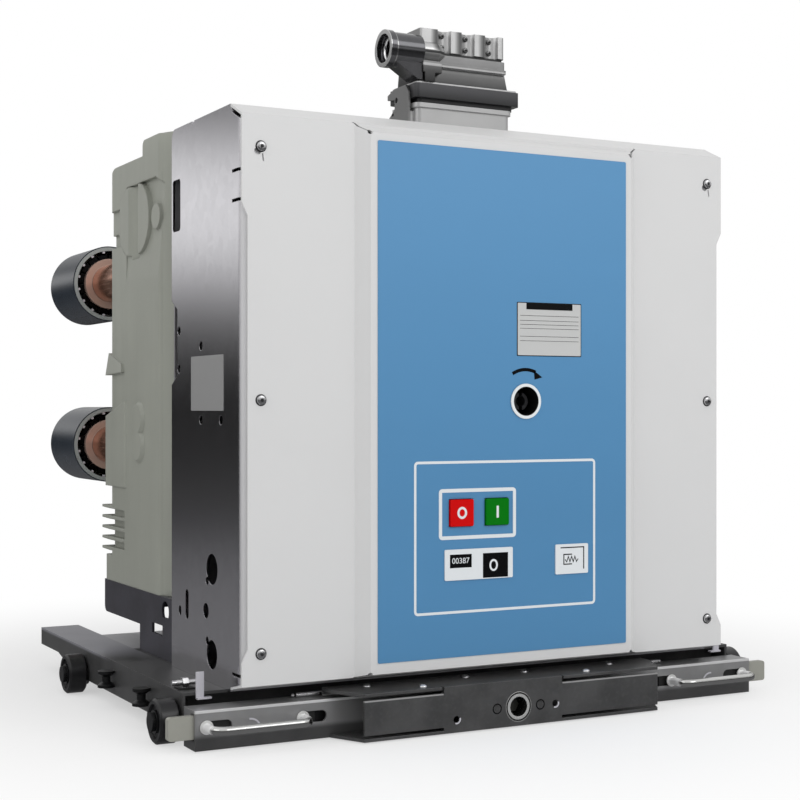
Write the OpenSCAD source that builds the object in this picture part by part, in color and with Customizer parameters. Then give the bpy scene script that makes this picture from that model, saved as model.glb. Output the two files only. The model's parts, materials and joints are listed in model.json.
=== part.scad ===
// Withdrawable vacuum circuit breaker on its racking truck.
// Millimetres. X to the right, Y to the rear, Z up; the floor is Z = 0 and the origin lies
// under the centre of the bounding box.

/* [Housing] */
// Width across the side plates
house_w = 564; // [500:2:640]
// Depth from the cover face to the rear plate
house_d = 192; // [170:1:240]
// Height of the housing above the chassis plate
house_h = 555; // [480:1:620]
// Thickness of the housing sheet
sheet = 2.5; // [1.5:0.5:3]
// Depth of the bevels along the top and bottom edges of the cover
bevel_d = 28; // [20:1:36]
// Height of the top bevel beside the raised centre
bevel_h = 13; // [8:1:20]
// Height of the bottom bevel
foot_bevel_h = 6; // [3:1:8]
// Width of the raised centre's face
raise_w = 307; // [280:1:330]
// How far the raised centre stands proud
raise_d = 11; // [6:1:16]
// Width of the slope at each side of the raised centre
raise_slope = 12; // [6:1:18]
// How much lower the raised centre's top edge is than the cover's
raise_drop = 9; // [4:1:14]
// How far the cover's long edges are set in between the ears
ear_inset = 6; // [3:1:9]
// Radius of the vertical front bends of the side plates
bend_r = 8; // [6:0.5:11]
// Width of the side plates' front flanges
flange_w = 28; // [24:1:34]

/* [Front panel] */
// Width of the blue panel
panel_w = 292; // [270:1:300]
// Height of the blue panel
panel_h = 504; // [440:1:510]
// Height of the blue panel's lower edge above the chassis plate
panel_lift = 21.5; // [18:0.5:26]
// Thickness of the blue panel
panel_t = 0.8; // [0.5:0.1:1.5]
// Height of the crank port above the chassis plate
crank_lift = 274.5; // [240:0.5:300]
// Distance of the crank port to the right of the centre
crank_x = 21.5; // [10:0.5:40]
// Bore radius of the crank port
crank_r = 14.5; // [12:0.5:17]
// Rim width of the crank port
crank_rim = 3.3; // [2:0.1:4]
// Side of the square push buttons
button_w = 26.5; // [20:0.5:28]
// Distance between the push buttons
button_pitch = 41; // [36:0.5:46]
// Distance of the middle of the two buttons to the left of the centre
button_x = 33.5; // [25:0.5:40]
// Height of the buttons above the chassis plate
button_lift = 164; // [150:1:180]
// Travel of the push buttons
button_travel = 4; // [2:0.5:5]
// Width of the closed mechanism block behind the panel
block_w = 250; // [200:2:300]
// Height of the mechanism block
block_h = 290; // [280:2:320]
// Height of the mechanism block's underside above the chassis plate
block_lift = 60; // [40:1:80]

/* [Poles] */
// Distance between the poles
pole_pitch = 210; // [190:1:215]
// Width of a pole housing
pole_w = 130; // [110:1:140]
// Height of the pole housing above its shelf
pole_h = 496; // [430:1:520]
// Depth of the pole housing
pole_d = 224; // [200:1:250]
// Height of the step down from the head to the rear part
pole_step = 17; // [10:1:24]
// Distance of the lower contact above the shelf
contact_lift = 153.5; // [140:0.5:170]
// Distance between the lower and the upper contact
contact_pitch = 210; // [190:1:215]
// Number of cooling fins at the rear of a pole
fin_count = 5; // [3:1:6]
// Distance between the cooling fins
fin_pitch = 12.2; // [10:0.1:14]
// Thickness of a cooling fin
fin_t = 4; // [3:0.5:6]
// How far the fins stand out behind the pole
fin_reach = 33; // [15:1:35]

/* [Contacts] */
// Radius of the contact arm
arm_r = 24; // [20:0.5:26]
// Distance from the pole's rear face to the seat of the tulip contact
arm_len = 214; // [180:1:240]
// Bore radius of the tulip contact
tulip_r = 24.5; // [22:0.5:26]
// Wall of the contact fingers
finger_t = 8; // [6:0.5:9]
// Number of contact fingers
finger_count = 16; // [10:1:18]
// Width of the slot between two fingers
finger_gap = 2; // [1:0.1:2.5]
// Length of the contact fingers
finger_len = 98; // [80:1:110]
// Outer radius of the tulip's shield
shield_r = 49; // [45:0.5:54]
// Wall of the tulip's shield
shield_t = 6; // [4:0.5:8]
// Length of the tulip's shield
shield_len = 113; // [95:1:125]

/* [Truck] */
// Width across the side rails
truck_w = 650; // [620:2:690]
// Height of the chassis plate's top above the floor
deck_z = 49.5; // [48:0.5:60]
// Length of the side rails
rail_len = 499; // [440:1:520]
// Thickness of the truck's plate
plate_t = 3; // [2:0.5:4]
// Width of the rails' top flanges
rail_flange = 46; // [34:1:48]
// Radius of the rollers
roller_r = 21.5; // [19:0.5:22.5]
// Width of the rollers
roller_w = 20; // [14:1:22]
// Distance from the cover face to the front rollers
roller_front = 60; // [56:1:80]
// Distance between the front and the rear rollers
wheelbase = 300; // [260:1:360]
// Radius of the roller pins
pin_r = 6; // [5:0.5:8]
// Travel of the crossbar when the breaker is racked
rack_travel = 200; // [150:5:210]
// Height of the crossbar
bar_h = 37; // [34:1:38]
// Depth of the crossbar
bar_d = 30; // [24:1:32]
// How far the drive box stands in front of the crossbar
box_reach = 38; // [30:1:44]
// Height of the drive box
box_h = 45.5; // [43:0.5:46]
// Half the width of the drive box's face
box_half = 171; // [160:1:185]
// Radius of the racking screw
screw_r = 8; // [6:0.5:10]
// Radius of the guide rods
rod_r = 8; // [6:0.5:9]
// Distance of each guide rod from the centre
rod_x = 120; // [100:1:130]
// Radius of the handle rods
grip_r = 4; // [3:0.5:5]
// Distance between the two feet of a handle
grip_span = 97; // [85:1:105]
// Distance of the handle's outer foot from the end of the crossbar
grip_edge = 11; // [10:0.5:16]
// How far the handles stand in front of the crossbar
grip_reach = 28; // [22:1:34]
// Travel of the handles
grip_travel = 20; // [15:1:21]
// How far the locking tongues stand out beside the crossbar
tongue_out = 25; // [20:1:25]

/* [Control plug] */
// Length of the plug's pedestal
plug_l = 114; // [90:1:130]
// Depth of the plug's pedestal
plug_d = 54; // [44:1:64]
// Distance of the plug to the right of the centre
plug_x = 5; // [-20:1:20]
// Distance of the plug behind the cover face
plug_y = 110; // [90:1:125]
// Height of the pedestal
pedestal_h = 32; // [24:1:40]
// Height of the locking frame
frame_h = 22; // [18:1:28]
// Height of the hood up to its ribs
hood_h = 33.5; // [30:0.5:40]
// Height of the hood's ribs
rib_h = 23.5; // [18:0.5:28]
// Number of the hood's ribs
rib_count = 4; // [3:1:4]
// Distance between the hood's ribs
rib_pitch = 29; // [26:0.5:31]
// Outer radius of the cable gland
gland_r = 19.5; // [17:0.5:21]
// Bore radius of the cable gland
gland_bore = 15; // [12:0.5:16]

/* [Hidden] */
$fn = 48;

// Clearances
slip = 0.3;          // between pieces of different bodies that slide past each other
run = 0.06;          // radial play of a shaft in its bore
eps = 1;             // how far a cutting tool reaches past the face it cuts

// Places along Y, counted back from the cover's face
pole_gap = 11;                       // from the rear plate to the poles' round fronts
pole_front = house_d + pole_gap;
pole_rear = pole_front + pole_d;
seat_y = pole_rear + arm_len;        // where the tulip contacts are seated
shield_y = seat_y - 8;               // front rim of the tulips' shields
bar_y = 5;                           // front of the crossbar
front_reach = box_reach - bar_y;     // the drive box in front of the cover's face
face_y = (front_reach - shield_y - shield_len) / 2;   // cover face in the part's frame
beam_y = 64;                         // front of the chassis's front beam
rail_y = 42;                         // front end of the rails

// Heights
house_top = deck_z + house_h;
cover_foot = deck_z + foot_bevel_h + 2;      // lower edge of the cover's face
cover_head = house_top - bevel_h;            // upper edge of the cover's face
raise_head = cover_head - raise_drop;
raise_foot = cover_foot + 3;
crank_z = deck_z + crank_lift;
button_z = deck_z + button_lift;
shelf_z = deck_z + 66.5;                     // top of the shelf that carries the poles
contact_z = [shelf_z + contact_lift, shelf_z + contact_lift + contact_pitch];
bar_z = 1.5;                                 // underside of the crossbar
screw_z = bar_z + 19;                        // axis of the racking screw
rod_z = bar_z + 23.5;                        // axis of the guide rods
grip_z = bar_z + 21.5;                       // axis of the handles

half_w = house_w / 2;
inner_w = half_w - sheet;
pole_xs = [-pole_pitch, 0, pole_pitch];

// A cuboid between two corners, one range on each axis, with y counted from the cover's face
module span(x, y, z) {
    translate([x[0], face_y + y[0], z[0]])
        cube([x[1] - x[0], y[1] - y[0], z[1] - z[0]]);
}

// A flat outline drawn in Y and Z, drawn out along X
module along_x(x) {
    translate([x[0], face_y, 0]) rotate([90, 0, 90]) linear_extrude(x[1] - x[0]) children();
}

// A flat outline drawn in X and Z, drawn out along Y
module along_y(y) {
    translate([0, face_y + y[1], 0]) rotate([90, 0, 0]) linear_extrude(y[1] - y[0]) children();
}

// A flat outline drawn in X and Y, drawn out along Z
module along_z(z) {
    translate([0, face_y, z[0]]) linear_extrude(z[1] - z[0]) children();
}

// A round bar along Y
module rod_y(x, y, z, r) {
    translate([x, face_y + y[1], z]) rotate([90, 0, 0]) cylinder(h = y[1] - y[0], r = r);
}

// A round bar along X
module rod_x_axis(x, y, z, r) {
    translate([x[0], face_y + y, z]) rotate([0, 90, 0]) cylinder(h = x[1] - x[0], r = r);
}

// A profile in radius and distance, turned about an axis that runs back along Y
module turned_y(x, y, z) {
    translate([x, face_y + y, z]) rotate([-90, 0, 0]) rotate_extrude() children();
}

// The right-hand piece as drawn, or its mirror image for the left
module on_side(side) {
    if (side > 0) children();
    else mirror([1, 0, 0]) children();
}

// A rectangle with round corners
module round_rect(x, y, r) {
    for (sx = [x[0] + r, x[1] - r]) for (sy = [y[0] + r, y[1] - r])
        translate([sx, sy]) circle(r);
    translate([x[0] + r, y[0]]) square([x[1] - x[0] - 2 * r, y[1] - y[0]]);
    translate([x[0], y[0] + r]) square([x[1] - x[0], y[1] - y[0] - 2 * r]);
}

// A slot with round ends, centred, its long way along the first axis
module slot_shape(length, width) {
    for (s = [-1, 1]) translate([s * (length - width) / 2, 0]) circle(width / 2);
    square([length - width, width], center = true);
}

// ---- Housing ----

top_slope = bevel_h / bevel_d;
foot_slope = (cover_foot - deck_z - 1.5) / bevel_d;
raise_top_slope = (house_top - raise_head) / (bevel_d + raise_d);
raise_foot_slope = (raise_foot - deck_z - 1.5) / (bevel_d + raise_d);
raise_k = tan(atan2(raise_d, raise_slope) / 2);

// Side outline of the cover, moved in by the sheet for its inner face
function cover_section(front, head, foot, head_slope, foot_s, inset) = [
    [front + inset, foot - foot_s * inset + inset],
    [front + inset, head + head_slope * inset - inset / cos(atan(head_slope))],
    [bevel_d + (inset > 0 ? eps : 0),
     head + head_slope * (bevel_d - front + (inset > 0 ? eps : 0)) - inset / cos(atan(head_slope))],
    [bevel_d + (inset > 0 ? eps : 0), foot - foot_s * (bevel_d - front) + inset]
];

module cover_flat(inset) {
    reach = half_w + (inset > 0 ? eps : 0);
    along_x([-reach, reach])
        polygon(cover_section(0, cover_head, cover_foot, top_slope, foot_slope, inset));
}

module cover_raised(inset) {
    foot_x = raise_w / 2 + raise_slope - raise_k * inset;
    face_x = raise_w / 2 - raise_k * inset;
    back = bevel_d + 2 * eps;
    intersection() {
        along_x([-half_w, half_w])
            polygon(cover_section(-raise_d, raise_head, raise_foot, raise_top_slope,
                raise_foot_slope, inset));
        along_z([0, house_top + eps])
            polygon([[-foot_x, inset], [-face_x, inset - raise_d], [face_x, inset - raise_d],
                [foot_x, inset], [foot_x, back], [-foot_x, back]]);
    }
}

// The two long edges, set in between the ears
module cover_edge_cut() {
    ear_top = cover_head - 83;
    ear_foot = cover_foot + 22;
    fall = 12.5;
    along_y([-eps, bevel_d + eps])
        polygon([[half_w + eps, ear_foot], [half_w, ear_foot], [half_w - ear_inset, ear_foot + fall],
            [half_w - ear_inset, ear_top - fall], [half_w, ear_top], [half_w + eps, ear_top]]);
}

screw_x = half_w - 19.2;
screw_zs = [cover_foot + 30, (cover_foot + cover_head) / 2, cover_head - 30];
screw_hole_r = 3;
screw_gap_r = 3.4;                   // hole below each upper screw
screw_gap_at = [-3.4, -4.6];
screw_slit = [[1.6, -6.5], [2.6, -13.5]];
slit_w = 1.4;
slit_end_r = 2.2;
slit_xs = [raise_w / 2, raise_w / 2 + raise_slope + 1.5];
button_gap = 0.6;
crank_window = crank_r + 7.5;        // half the square window behind the blue panel

module button_windows(y) {
    for (s = [-1, 1])
        translate([-button_x + s * button_pitch / 2, 0])
            span([-button_w / 2 - button_gap, button_w / 2 + button_gap], y,
                [button_z - button_w / 2 - button_gap, button_z + button_w / 2 + button_gap]);
}

// A thin straight slit between two points
module slit(from, to) {
    along = to - from;
    translate(from) rotate(atan2(along[1], along[0])) translate([0, -slit_w / 2]) square([norm(along), slit_w]);
}

// Relief slits where the raised centre's corners are folded, each with a round end
module corner_slits() {
    for (side = [-1, 1]) on_side(side) along_y([-raise_d - eps, bevel_d])
        for (z = [[raise_head, cover_head + 1], [raise_foot, cover_foot - 0.5]]) {
            translate([slit_xs[0], z[0]]) circle(slit_end_r);
            slit([slit_xs[0], z[0]], [slit_xs[1], z[1]]);
        }
}

module front_cover() {
    color([0.84, 0.84, 0.84]) difference() {
        union() {
            cover_flat(0);
            cover_raised(0);
        }
        cover_flat(sheet);
        cover_raised(sheet);
        for (side = [-1, 1]) on_side(side) cover_edge_cut();
        for (x = [-screw_x, screw_x]) for (z = screw_zs)
            rod_y(x, [-eps, sheet + eps], z, screw_hole_r);
        for (x = [-screw_x, screw_x]) along_y([-eps, sheet + eps]) translate([x, screw_zs[2]]) {
            translate(screw_gap_at) circle(screw_gap_r);
            slit(screw_slit[0], screw_slit[1]);
        }
        corner_slits();
        span([crank_x - crank_window, crank_x + crank_window], [-raise_d - eps, bevel_d],
            [crank_z - crank_window, crank_z + crank_window]);
        button_windows([-raise_d - eps, bevel_d]);
    }
}

panel_z = deck_z + panel_lift;
panel_y = -raise_d - panel_t;       // face of the blue panel

module blue_panel() {
    color([0.31, 0.54, 0.72]) difference() {
        along_y([panel_y, -raise_d])
            round_rect([-panel_w / 2, panel_w / 2], [panel_z, panel_z + panel_h], 1.5);
        rod_y(crank_x, [panel_y - eps, -raise_d + eps], crank_z, crank_r + 1.5);
        button_windows([panel_y - eps, -raise_d + eps]);
    }
}

block_y = 22;        // front of the closed mechanism block behind the cover

// Collar of the crank port: a rim on the panel and a sleeve back to the mechanism
module crank_port() {
    color([0.9, 0.9, 0.92])
        turned_y(crank_x, panel_y - 1.5, crank_z) {
            translate([crank_r, 0]) square([crank_rim, 1.5]);
            translate([crank_r, 0]) square([1.5, block_y - panel_y + 1.5]);
        }
}

bezel_t = 1.4;
bezel_h = 30.5;
bezel_z = deck_z + 97.5;
counter_w = 25;
counter_h = 13.3;
flag_w = 29.5;
flag_h = 24.6;
bezel_x = [-73, 5.5];
charge_x = [57, 97];

module bezel_windows(y, shrink) {
    span([bezel_x[0] + 5.7 + shrink, bezel_x[0] + 5.7 + counter_w - shrink], y,
        [bezel_z + bezel_h - 5 - counter_h + shrink, bezel_z + bezel_h - 5 - shrink]);
    span([bezel_x[1] - 5.5 - flag_w + shrink, bezel_x[1] - 5.5 - shrink], y,
        [bezel_z + bezel_h - 5 - flag_h + shrink, bezel_z + bezel_h - 5 - shrink]);
}

module indicator_bezel() {
    color([0.9, 0.9, 0.9]) difference() {
        for (x = [bezel_x, charge_x])
            along_y([panel_y - bezel_t, panel_y]) round_rect(x, [bezel_z, bezel_z + bezel_h], 1.5);
        bezel_windows([panel_y - bezel_t - eps, panel_y + eps], 0);
    }
}

module indicator_windows() {
    color([0.05, 0.05, 0.05]) bezel_windows([panel_y - bezel_t + 0.5, panel_y], 0);
}

// Side outline of a side plate: it follows the cover's bevels at the front
module side_outline() {
    corner = 10;
    inset = sheet / cos(atan(top_slope));
    difference() {
        polygon([
            [sheet, cover_foot - foot_slope * sheet + sheet], [sheet, cover_head + top_slope * sheet - inset],
            [bevel_d, house_top - inset], [bevel_d, house_top], [house_d, house_top],
            [house_d, deck_z], [bevel_d, deck_z], [bevel_d, cover_foot - foot_slope * bevel_d + sheet]
        ]);
        translate([house_d - corner, house_top - corner]) difference() {
            square(corner + eps);
            circle(corner);
        }
    }
}

// Plan of a side plate: a flat side and a front flange joined by a round bend
module side_plan() {
    difference() {
        union() {
            translate([half_w - bend_r, sheet + bend_r]) circle(bend_r);
            translate([half_w - bend_r, sheet + bend_r]) square([bend_r, house_d - sheet - bend_r]);
            translate([half_w - flange_w, sheet]) square([flange_w - bend_r, bend_r]);
            translate([half_w - 2 * bend_r, sheet + bend_r]) square([bend_r + eps, bend_r]);
        }
        translate([half_w - bend_r, sheet + bend_r]) circle(bend_r - sheet);
        translate([half_w - flange_w - eps, 2 * sheet])
            square([flange_w - bend_r + eps, house_d]);
        translate([half_w - bend_r - eps, sheet + bend_r])
            square([bend_r - sheet + eps, house_d]);
    }
}

notch_z = deck_z + 449;              // lower edge of the big round-cornered cut-out
hollow_z = deck_z + 335;             // middle of the shallow hollow in the rear edge
hollow_d = 17;
hollow_h = [67, 88];                 // its height inside and at the edge
hole_hooks = [[90, 98.5], [89.5, 40]];   // small hooks on the two big holes
hook_hole_r = 4;
bevel_gap = [5, 25];                 // the plate ends lower here, below the cover's bevel
bevel_gap_t = 4.5;
edge_notch = [126, 132];             // small notch in the upper edge
// Round holes of a side plate: distance behind the cover face, height above the deck, radius
side_holes = [[170, 346.5, 4.5], [107, 329, 4.5], [170, 307.5, 4.5], [107, 256, 4.5], [53, 256, 4.5],
    [93, 69, 7.5], [77, 111, 15], [77, 28, 14]];

module side_plate(side) {
    on_side(side) color([0.62, 0.63, 0.66]) difference() {
        intersection() {
            along_z([deck_z, house_top]) side_plan();
            along_x([half_w - flange_w - eps, half_w + eps]) side_outline();
        }
        for (h = side_holes) rod_x_axis([inner_w - eps, half_w + eps], h[0], deck_z + h[1], h[2]);
        along_x([inner_w - eps, half_w + eps]) {
            translate([146.5, deck_z + 69.5]) rotate(90) slot_shape(30, 9);
            translate([167, deck_z + 61]) rotate(90) slot_shape(10, 7);
            for (h = hole_hooks) translate([h[0], deck_z + h[1]]) circle(hook_hole_r);
            polygon([[bevel_gap[0], cover_head + top_slope * bevel_gap[0] - bevel_gap_t - sheet],
                [bevel_gap[1], cover_head + top_slope * bevel_gap[1] - bevel_gap_t - sheet],
                [bevel_gap[1], house_top], [bevel_gap[0], house_top]]);
            translate([edge_notch[0], house_top - 3]) square([edge_notch[1] - edge_notch[0], 3 + eps]);
            round_rect([house_d - 26, house_d - 3], [notch_z, notch_z + 53], 4);
            polygon([[house_d + eps, hollow_z + hollow_h[1] / 2], [house_d - hollow_d, hollow_z + hollow_h[0] / 2],
                [house_d - hollow_d, hollow_z - hollow_h[0] / 2], [house_d + eps, hollow_z - hollow_h[1] / 2]]);
            for (z = [house_top - 66, house_top - 94, deck_z + 16])
                translate([sheet, z]) square([22, 3]);
        }
        for (z = screw_zs) rod_y(screw_x, [0, 3 * sheet], z, screw_hole_r - 0.5);
    }
}

module top_plate() {
    color([0.75, 0.75, 0.76])
        span([-inner_w, inner_w], [bevel_d, house_d - sheet], [house_top - sheet, house_top]);
}

module rear_plate() {
    color([0.6, 0.61, 0.64])
        span([-inner_w, inner_w], [house_d - sheet, house_d], [deck_z, house_top]);
}

module base_plate() {
    color([0.55, 0.56, 0.58])
        span([-inner_w, inner_w], [bevel_d, house_d - sheet], [deck_z, deck_z + sheet]);
}

stem_r = 4;
coupling_r = 9;
coupling_shaft_r = 6;
shaft_bore = 42;     // depth of the crank shaft's bore
stem_bore = 32;      // depth of the push buttons' bores

// The spring drive behind the cover, closed: only its front bores are used
module mechanism_box() {
    color([0.25, 0.25, 0.27]) difference() {
        span([-block_w / 2, block_w / 2], [block_y, house_d - sheet],
            [deck_z + block_lift, deck_z + block_lift + block_h]);
        rod_y(crank_x, [block_y - eps, block_y + shaft_bore], crank_z, coupling_shaft_r + run);
        for (s = [-1, 1])
            rod_y(-button_x + s * button_pitch / 2, [block_y - eps, block_y + stem_bore], button_z,
                stem_r + run);
    }
}

module button(side) {
    head_y = panel_y - 2.5;
    x = -button_x + side * button_pitch / 2;
    color(side < 0 ? [0.8, 0.02, 0.02] : [0.02, 0.5, 0.05]) {
        along_y([head_y, head_y + 14]) round_rect(
            [x - button_w / 2, x + button_w / 2], [button_z - button_w / 2, button_z + button_w / 2], 1.5);
        rod_y(x, [head_y + 12, block_y + stem_bore - button_travel - eps], button_z, stem_r);
    }
}

module crank_coupling() {
    front = block_y - 24;
    color([0.35, 0.35, 0.36]) {
        difference() {
            rod_y(crank_x, [front, block_y - slip], crank_z, coupling_r);
            rod_y(crank_x, [front - eps, front + 14], crank_z, coupling_r - 3.5);
            span([crank_x - 2, crank_x + 2], [front - eps, front + 8], [crank_z - 12, crank_z + 12]);
        }
        rod_y(crank_x, [block_y - slip, block_y + shaft_bore - 2], crank_z, coupling_shaft_r);
    }
}

// ---- Poles ----

shelf_t = plate_t;
pole_round = pole_w / 2;
body_y = pole_front + pole_round;                 // axis of the round front
head_y = pole_front + 104;                        // rear of the tall head
pad_ys = [pole_rear - 64, pole_rear + 14];        // pad round the lower contact
pad_zs = [contact_z[0] - 43, contact_z[0] + 37];  // its height at its rear face
pad_rise = 19.5;                                  // how much its top climbs to the front
fin_z = shelf_z + 35;                             // lowest fin
fin_root = pole_rear - 56;                        // front end of the fins
fin_tip = fin_t - 1.5;                            // thickness of a fin at its tip
skirt_zs = [shelf_z + 22, shelf_z + 30];          // slope on top of the wide foot
skirt_out = 18;                                   // how far the foot stands out behind
core_inset = 6;                                   // how far the sides lie in between the fins
shoulder_r = 24;                                  // round rear edge of the shoulder
crown_r = 7;                                      // round rear edge of the tall head
edge_r = 12;                                      // round rear corners of the plan
cap_y = body_y + 65;                              // middle of the moulded cap on the flank
cap_z = contact_z[1] + 47.5;
cap_size = [105, 78];
cap_proud = 2;
channel_r = 22;                                   // half-round channel down the cap
channel_d = 8;
scoop_y = body_y + 15;                            // centre of the scooped recess's round front
scoop_z = contact_z[1] + 25.5;
scoop_r = 65;
scoop_zs = [scoop_z - 45, scoop_z + 62];          // where it runs out, and its straight top edge
scoop_d = 5;
lobe_r = 20;
lug_ys = [pole_rear - 56, pole_rear + 3];         // lug at the rear edge, between the contacts
lug_z = contact_z[0] + 88;
lug_h = 24;

module pole_plan(rear, r) {
    translate([0, body_y]) circle(pole_round);
    round_rect([-pole_round, pole_round], [body_y - 2 * r, rear], r);
    translate([-pole_round, body_y]) square([pole_w, rear - body_y - r]);
}

// Side outline of the pole's body: the tall head, then the shoulder with its round rear edge
module pole_side() {
    top = shelf_z + pole_h;
    shoulder = top - pole_step;
    translate([pole_rear - shoulder_r, shoulder - shoulder_r]) circle(shoulder_r);
    translate([head_y - crown_r, top - crown_r]) circle(crown_r);
    polygon([[pole_front - eps, shelf_z], [pole_front - eps, top], [head_y - crown_r, top],
        [head_y - crown_r, top - crown_r], [head_y, top - crown_r], [head_y, shoulder],
        [pole_rear - shoulder_r, shoulder], [pole_rear - shoulder_r, shoulder - shoulder_r],
        [pole_rear, shoulder - shoulder_r], [pole_rear, shelf_z]]);
}

module pole_foot() {
    rear = pole_rear + skirt_out;
    intersection() {
        along_z([shelf_z, skirt_zs[1]]) pole_plan(rear, 8);
        along_x([-pole_w, pole_w])
            polygon([[pole_front - eps, shelf_z], [rear, shelf_z], [rear - 1, skirt_zs[0]],
                [rear - 7, skirt_zs[1]], [pole_front - eps, skirt_zs[1]]]);
    }
}

module pole_pad() {
    intersection() {
        along_z([pad_zs[0], pad_zs[1] + pad_rise])
            round_rect([-pole_round - 2, pole_round + 2], pad_ys, 6);
        along_x([-pole_w, pole_w])
            polygon([[pad_ys[0], pad_zs[0]], [pad_ys[1], pad_zs[0]], [pad_ys[1], pad_zs[1]],
                [pad_ys[0], pad_zs[1] + pad_rise]]);
    }
}

// The lug stands out furthest at its foot and runs out upwards
module pole_lug() {
    intersection() {
        along_x([-pole_w, pole_w]) polygon([[lug_ys[0], lug_z], [lug_ys[0] + 6, lug_z + 10],
            [lug_ys[1], lug_z + lug_h], [lug_ys[1], lug_z - 2]]);
        along_y([lug_ys[0], lug_ys[1]]) polygon([[-pole_round - 4, lug_z - 2], [pole_round + 4, lug_z - 2],
            [pole_round, lug_z + lug_h], [-pole_round, lug_z + lug_h]]);
    }
}

// Cooling fins, each thinner towards its tip
module pole_fins() {
    tip = pole_rear + fin_reach;
    intersection() {
        along_z([fin_z, fin_z + fin_count * fin_pitch])
            round_rect([-pole_round, pole_round], [fin_root, tip], 6);
        along_x([-pole_w, pole_w]) for (i = [0 : fin_count - 1]) translate([0, fin_z + i * fin_pitch])
            polygon([[fin_root, 0], [pole_rear, 0], [tip, (fin_t - fin_tip) / 2],
                [tip, (fin_t + fin_tip) / 2], [pole_rear, fin_t], [fin_root, fin_t]]);
    }
}

// What stands proud of the flat flanks: the cap, a small boss and two round lobes
module flank_bosses() {
    for (side = [-1, 1]) on_side(side) {
        along_x([pole_round - 2 * scoop_d, pole_round + cap_proud])
            translate([cap_y, cap_z]) slot_shape(cap_size[0], cap_size[1]);
        rod_x_axis([pole_round - 2 * scoop_d, pole_round + 1], body_y - 7, scoop_z + 19, 14);
        for (z = [contact_z[0] + 5.5, contact_z[0] + 35.5])
            translate([pole_round - eps, face_y + body_y + 50, z]) rotate([0, 90, 0])
                cylinder(h = eps + 4, r1 = lobe_r, r2 = lobe_r - 4);
    }
}

// What is sunk into the flanks: the scoop that deepens upwards
module flank_scoops() {
    for (side = [-1, 1]) on_side(side) intersection() {
        along_x([pole_round - 2 * scoop_d, pole_round + eps]) {
            translate([scoop_y, scoop_z]) circle(scoop_r);
            translate([scoop_y, scoop_z - scoop_r]) square([80, 2 * scoop_r]);
        }
        along_y([pole_front, pole_rear])
            polygon([[pole_round - scoop_d, scoop_zs[1]], [pole_round + eps, scoop_zs[1]],
                [pole_round + eps, scoop_zs[0]], [pole_round, scoop_zs[0]]]);
    }
}

// The channel down the cap and the pocket in the rear corner
module flank_cuts() {
    for (side = [-1, 1]) on_side(side) {
        translate([pole_round + cap_proud + channel_r - channel_d, face_y + cap_y, cap_z - cap_size[1] / 2 - 4])
            cylinder(h = cap_size[1] + 4, r = channel_r);
        span([pole_round - 4, pole_round + eps], [pole_rear - 50, pole_rear + eps],
            [cap_z - 25, cap_z + 18]);
        span([pole_round - 8, pole_round + eps], [pole_rear - 44, pole_rear + eps],
            [cap_z - 25, cap_z - 9]);
    }
}

bracket_zs = [shelf_z + 70, shelf_z + pole_h - 120];     // brackets that hold the pole's front
bracket_size = [60, 50];

module pole_housing(x) {
    top = shelf_z + pole_h;
    color([0.57, 0.58, 0.54]) translate([x, 0, 0]) difference() {
        union() {
            difference() {
                intersection() {
                    along_z([shelf_z, top]) pole_plan(pole_rear, edge_r);
                    along_x([-pole_w, pole_w]) pole_side();
                }
                flank_scoops();
                for (i = [0 : fin_count - 2]) for (side = [-1, 1]) on_side(side)
                    span([pole_round - core_inset, pole_round + eps], [fin_root, pole_rear + eps],
                        [fin_z + i * fin_pitch + fin_t, fin_z + (i + 1) * fin_pitch]);
            }
            pole_foot();
            pole_pad();
            pole_lug();
            pole_fins();
            flank_bosses();
            for (z = bracket_zs)
                span([-bracket_size[0] / 2, bracket_size[0] / 2], [house_d, body_y], [z, z + bracket_size[1]]);
        }
        flank_cuts();
    }
}

flange_t = 8;        // the arm's flange at the tulip's seat

module contact_arms(x) {
    color([0.72, 0.45, 0.33]) for (i = [0, 1]) {
        root = i == 0 ? pad_ys[1] : pole_rear;
        rod_y(x, [root, seat_y], contact_z[i], arm_r);
        rod_y(x, [seat_y - flange_t, seat_y], contact_z[i], tulip_r + finger_t);
    }
}

web_l = [50, 58];                      // web between the fingers and the shield
hook_r = tulip_r + finger_t + 7;       // hooks at the fingers' seated ends
hook_l = 8;
garters = [22, finger_len - 14];       // where the garter springs lie

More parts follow.
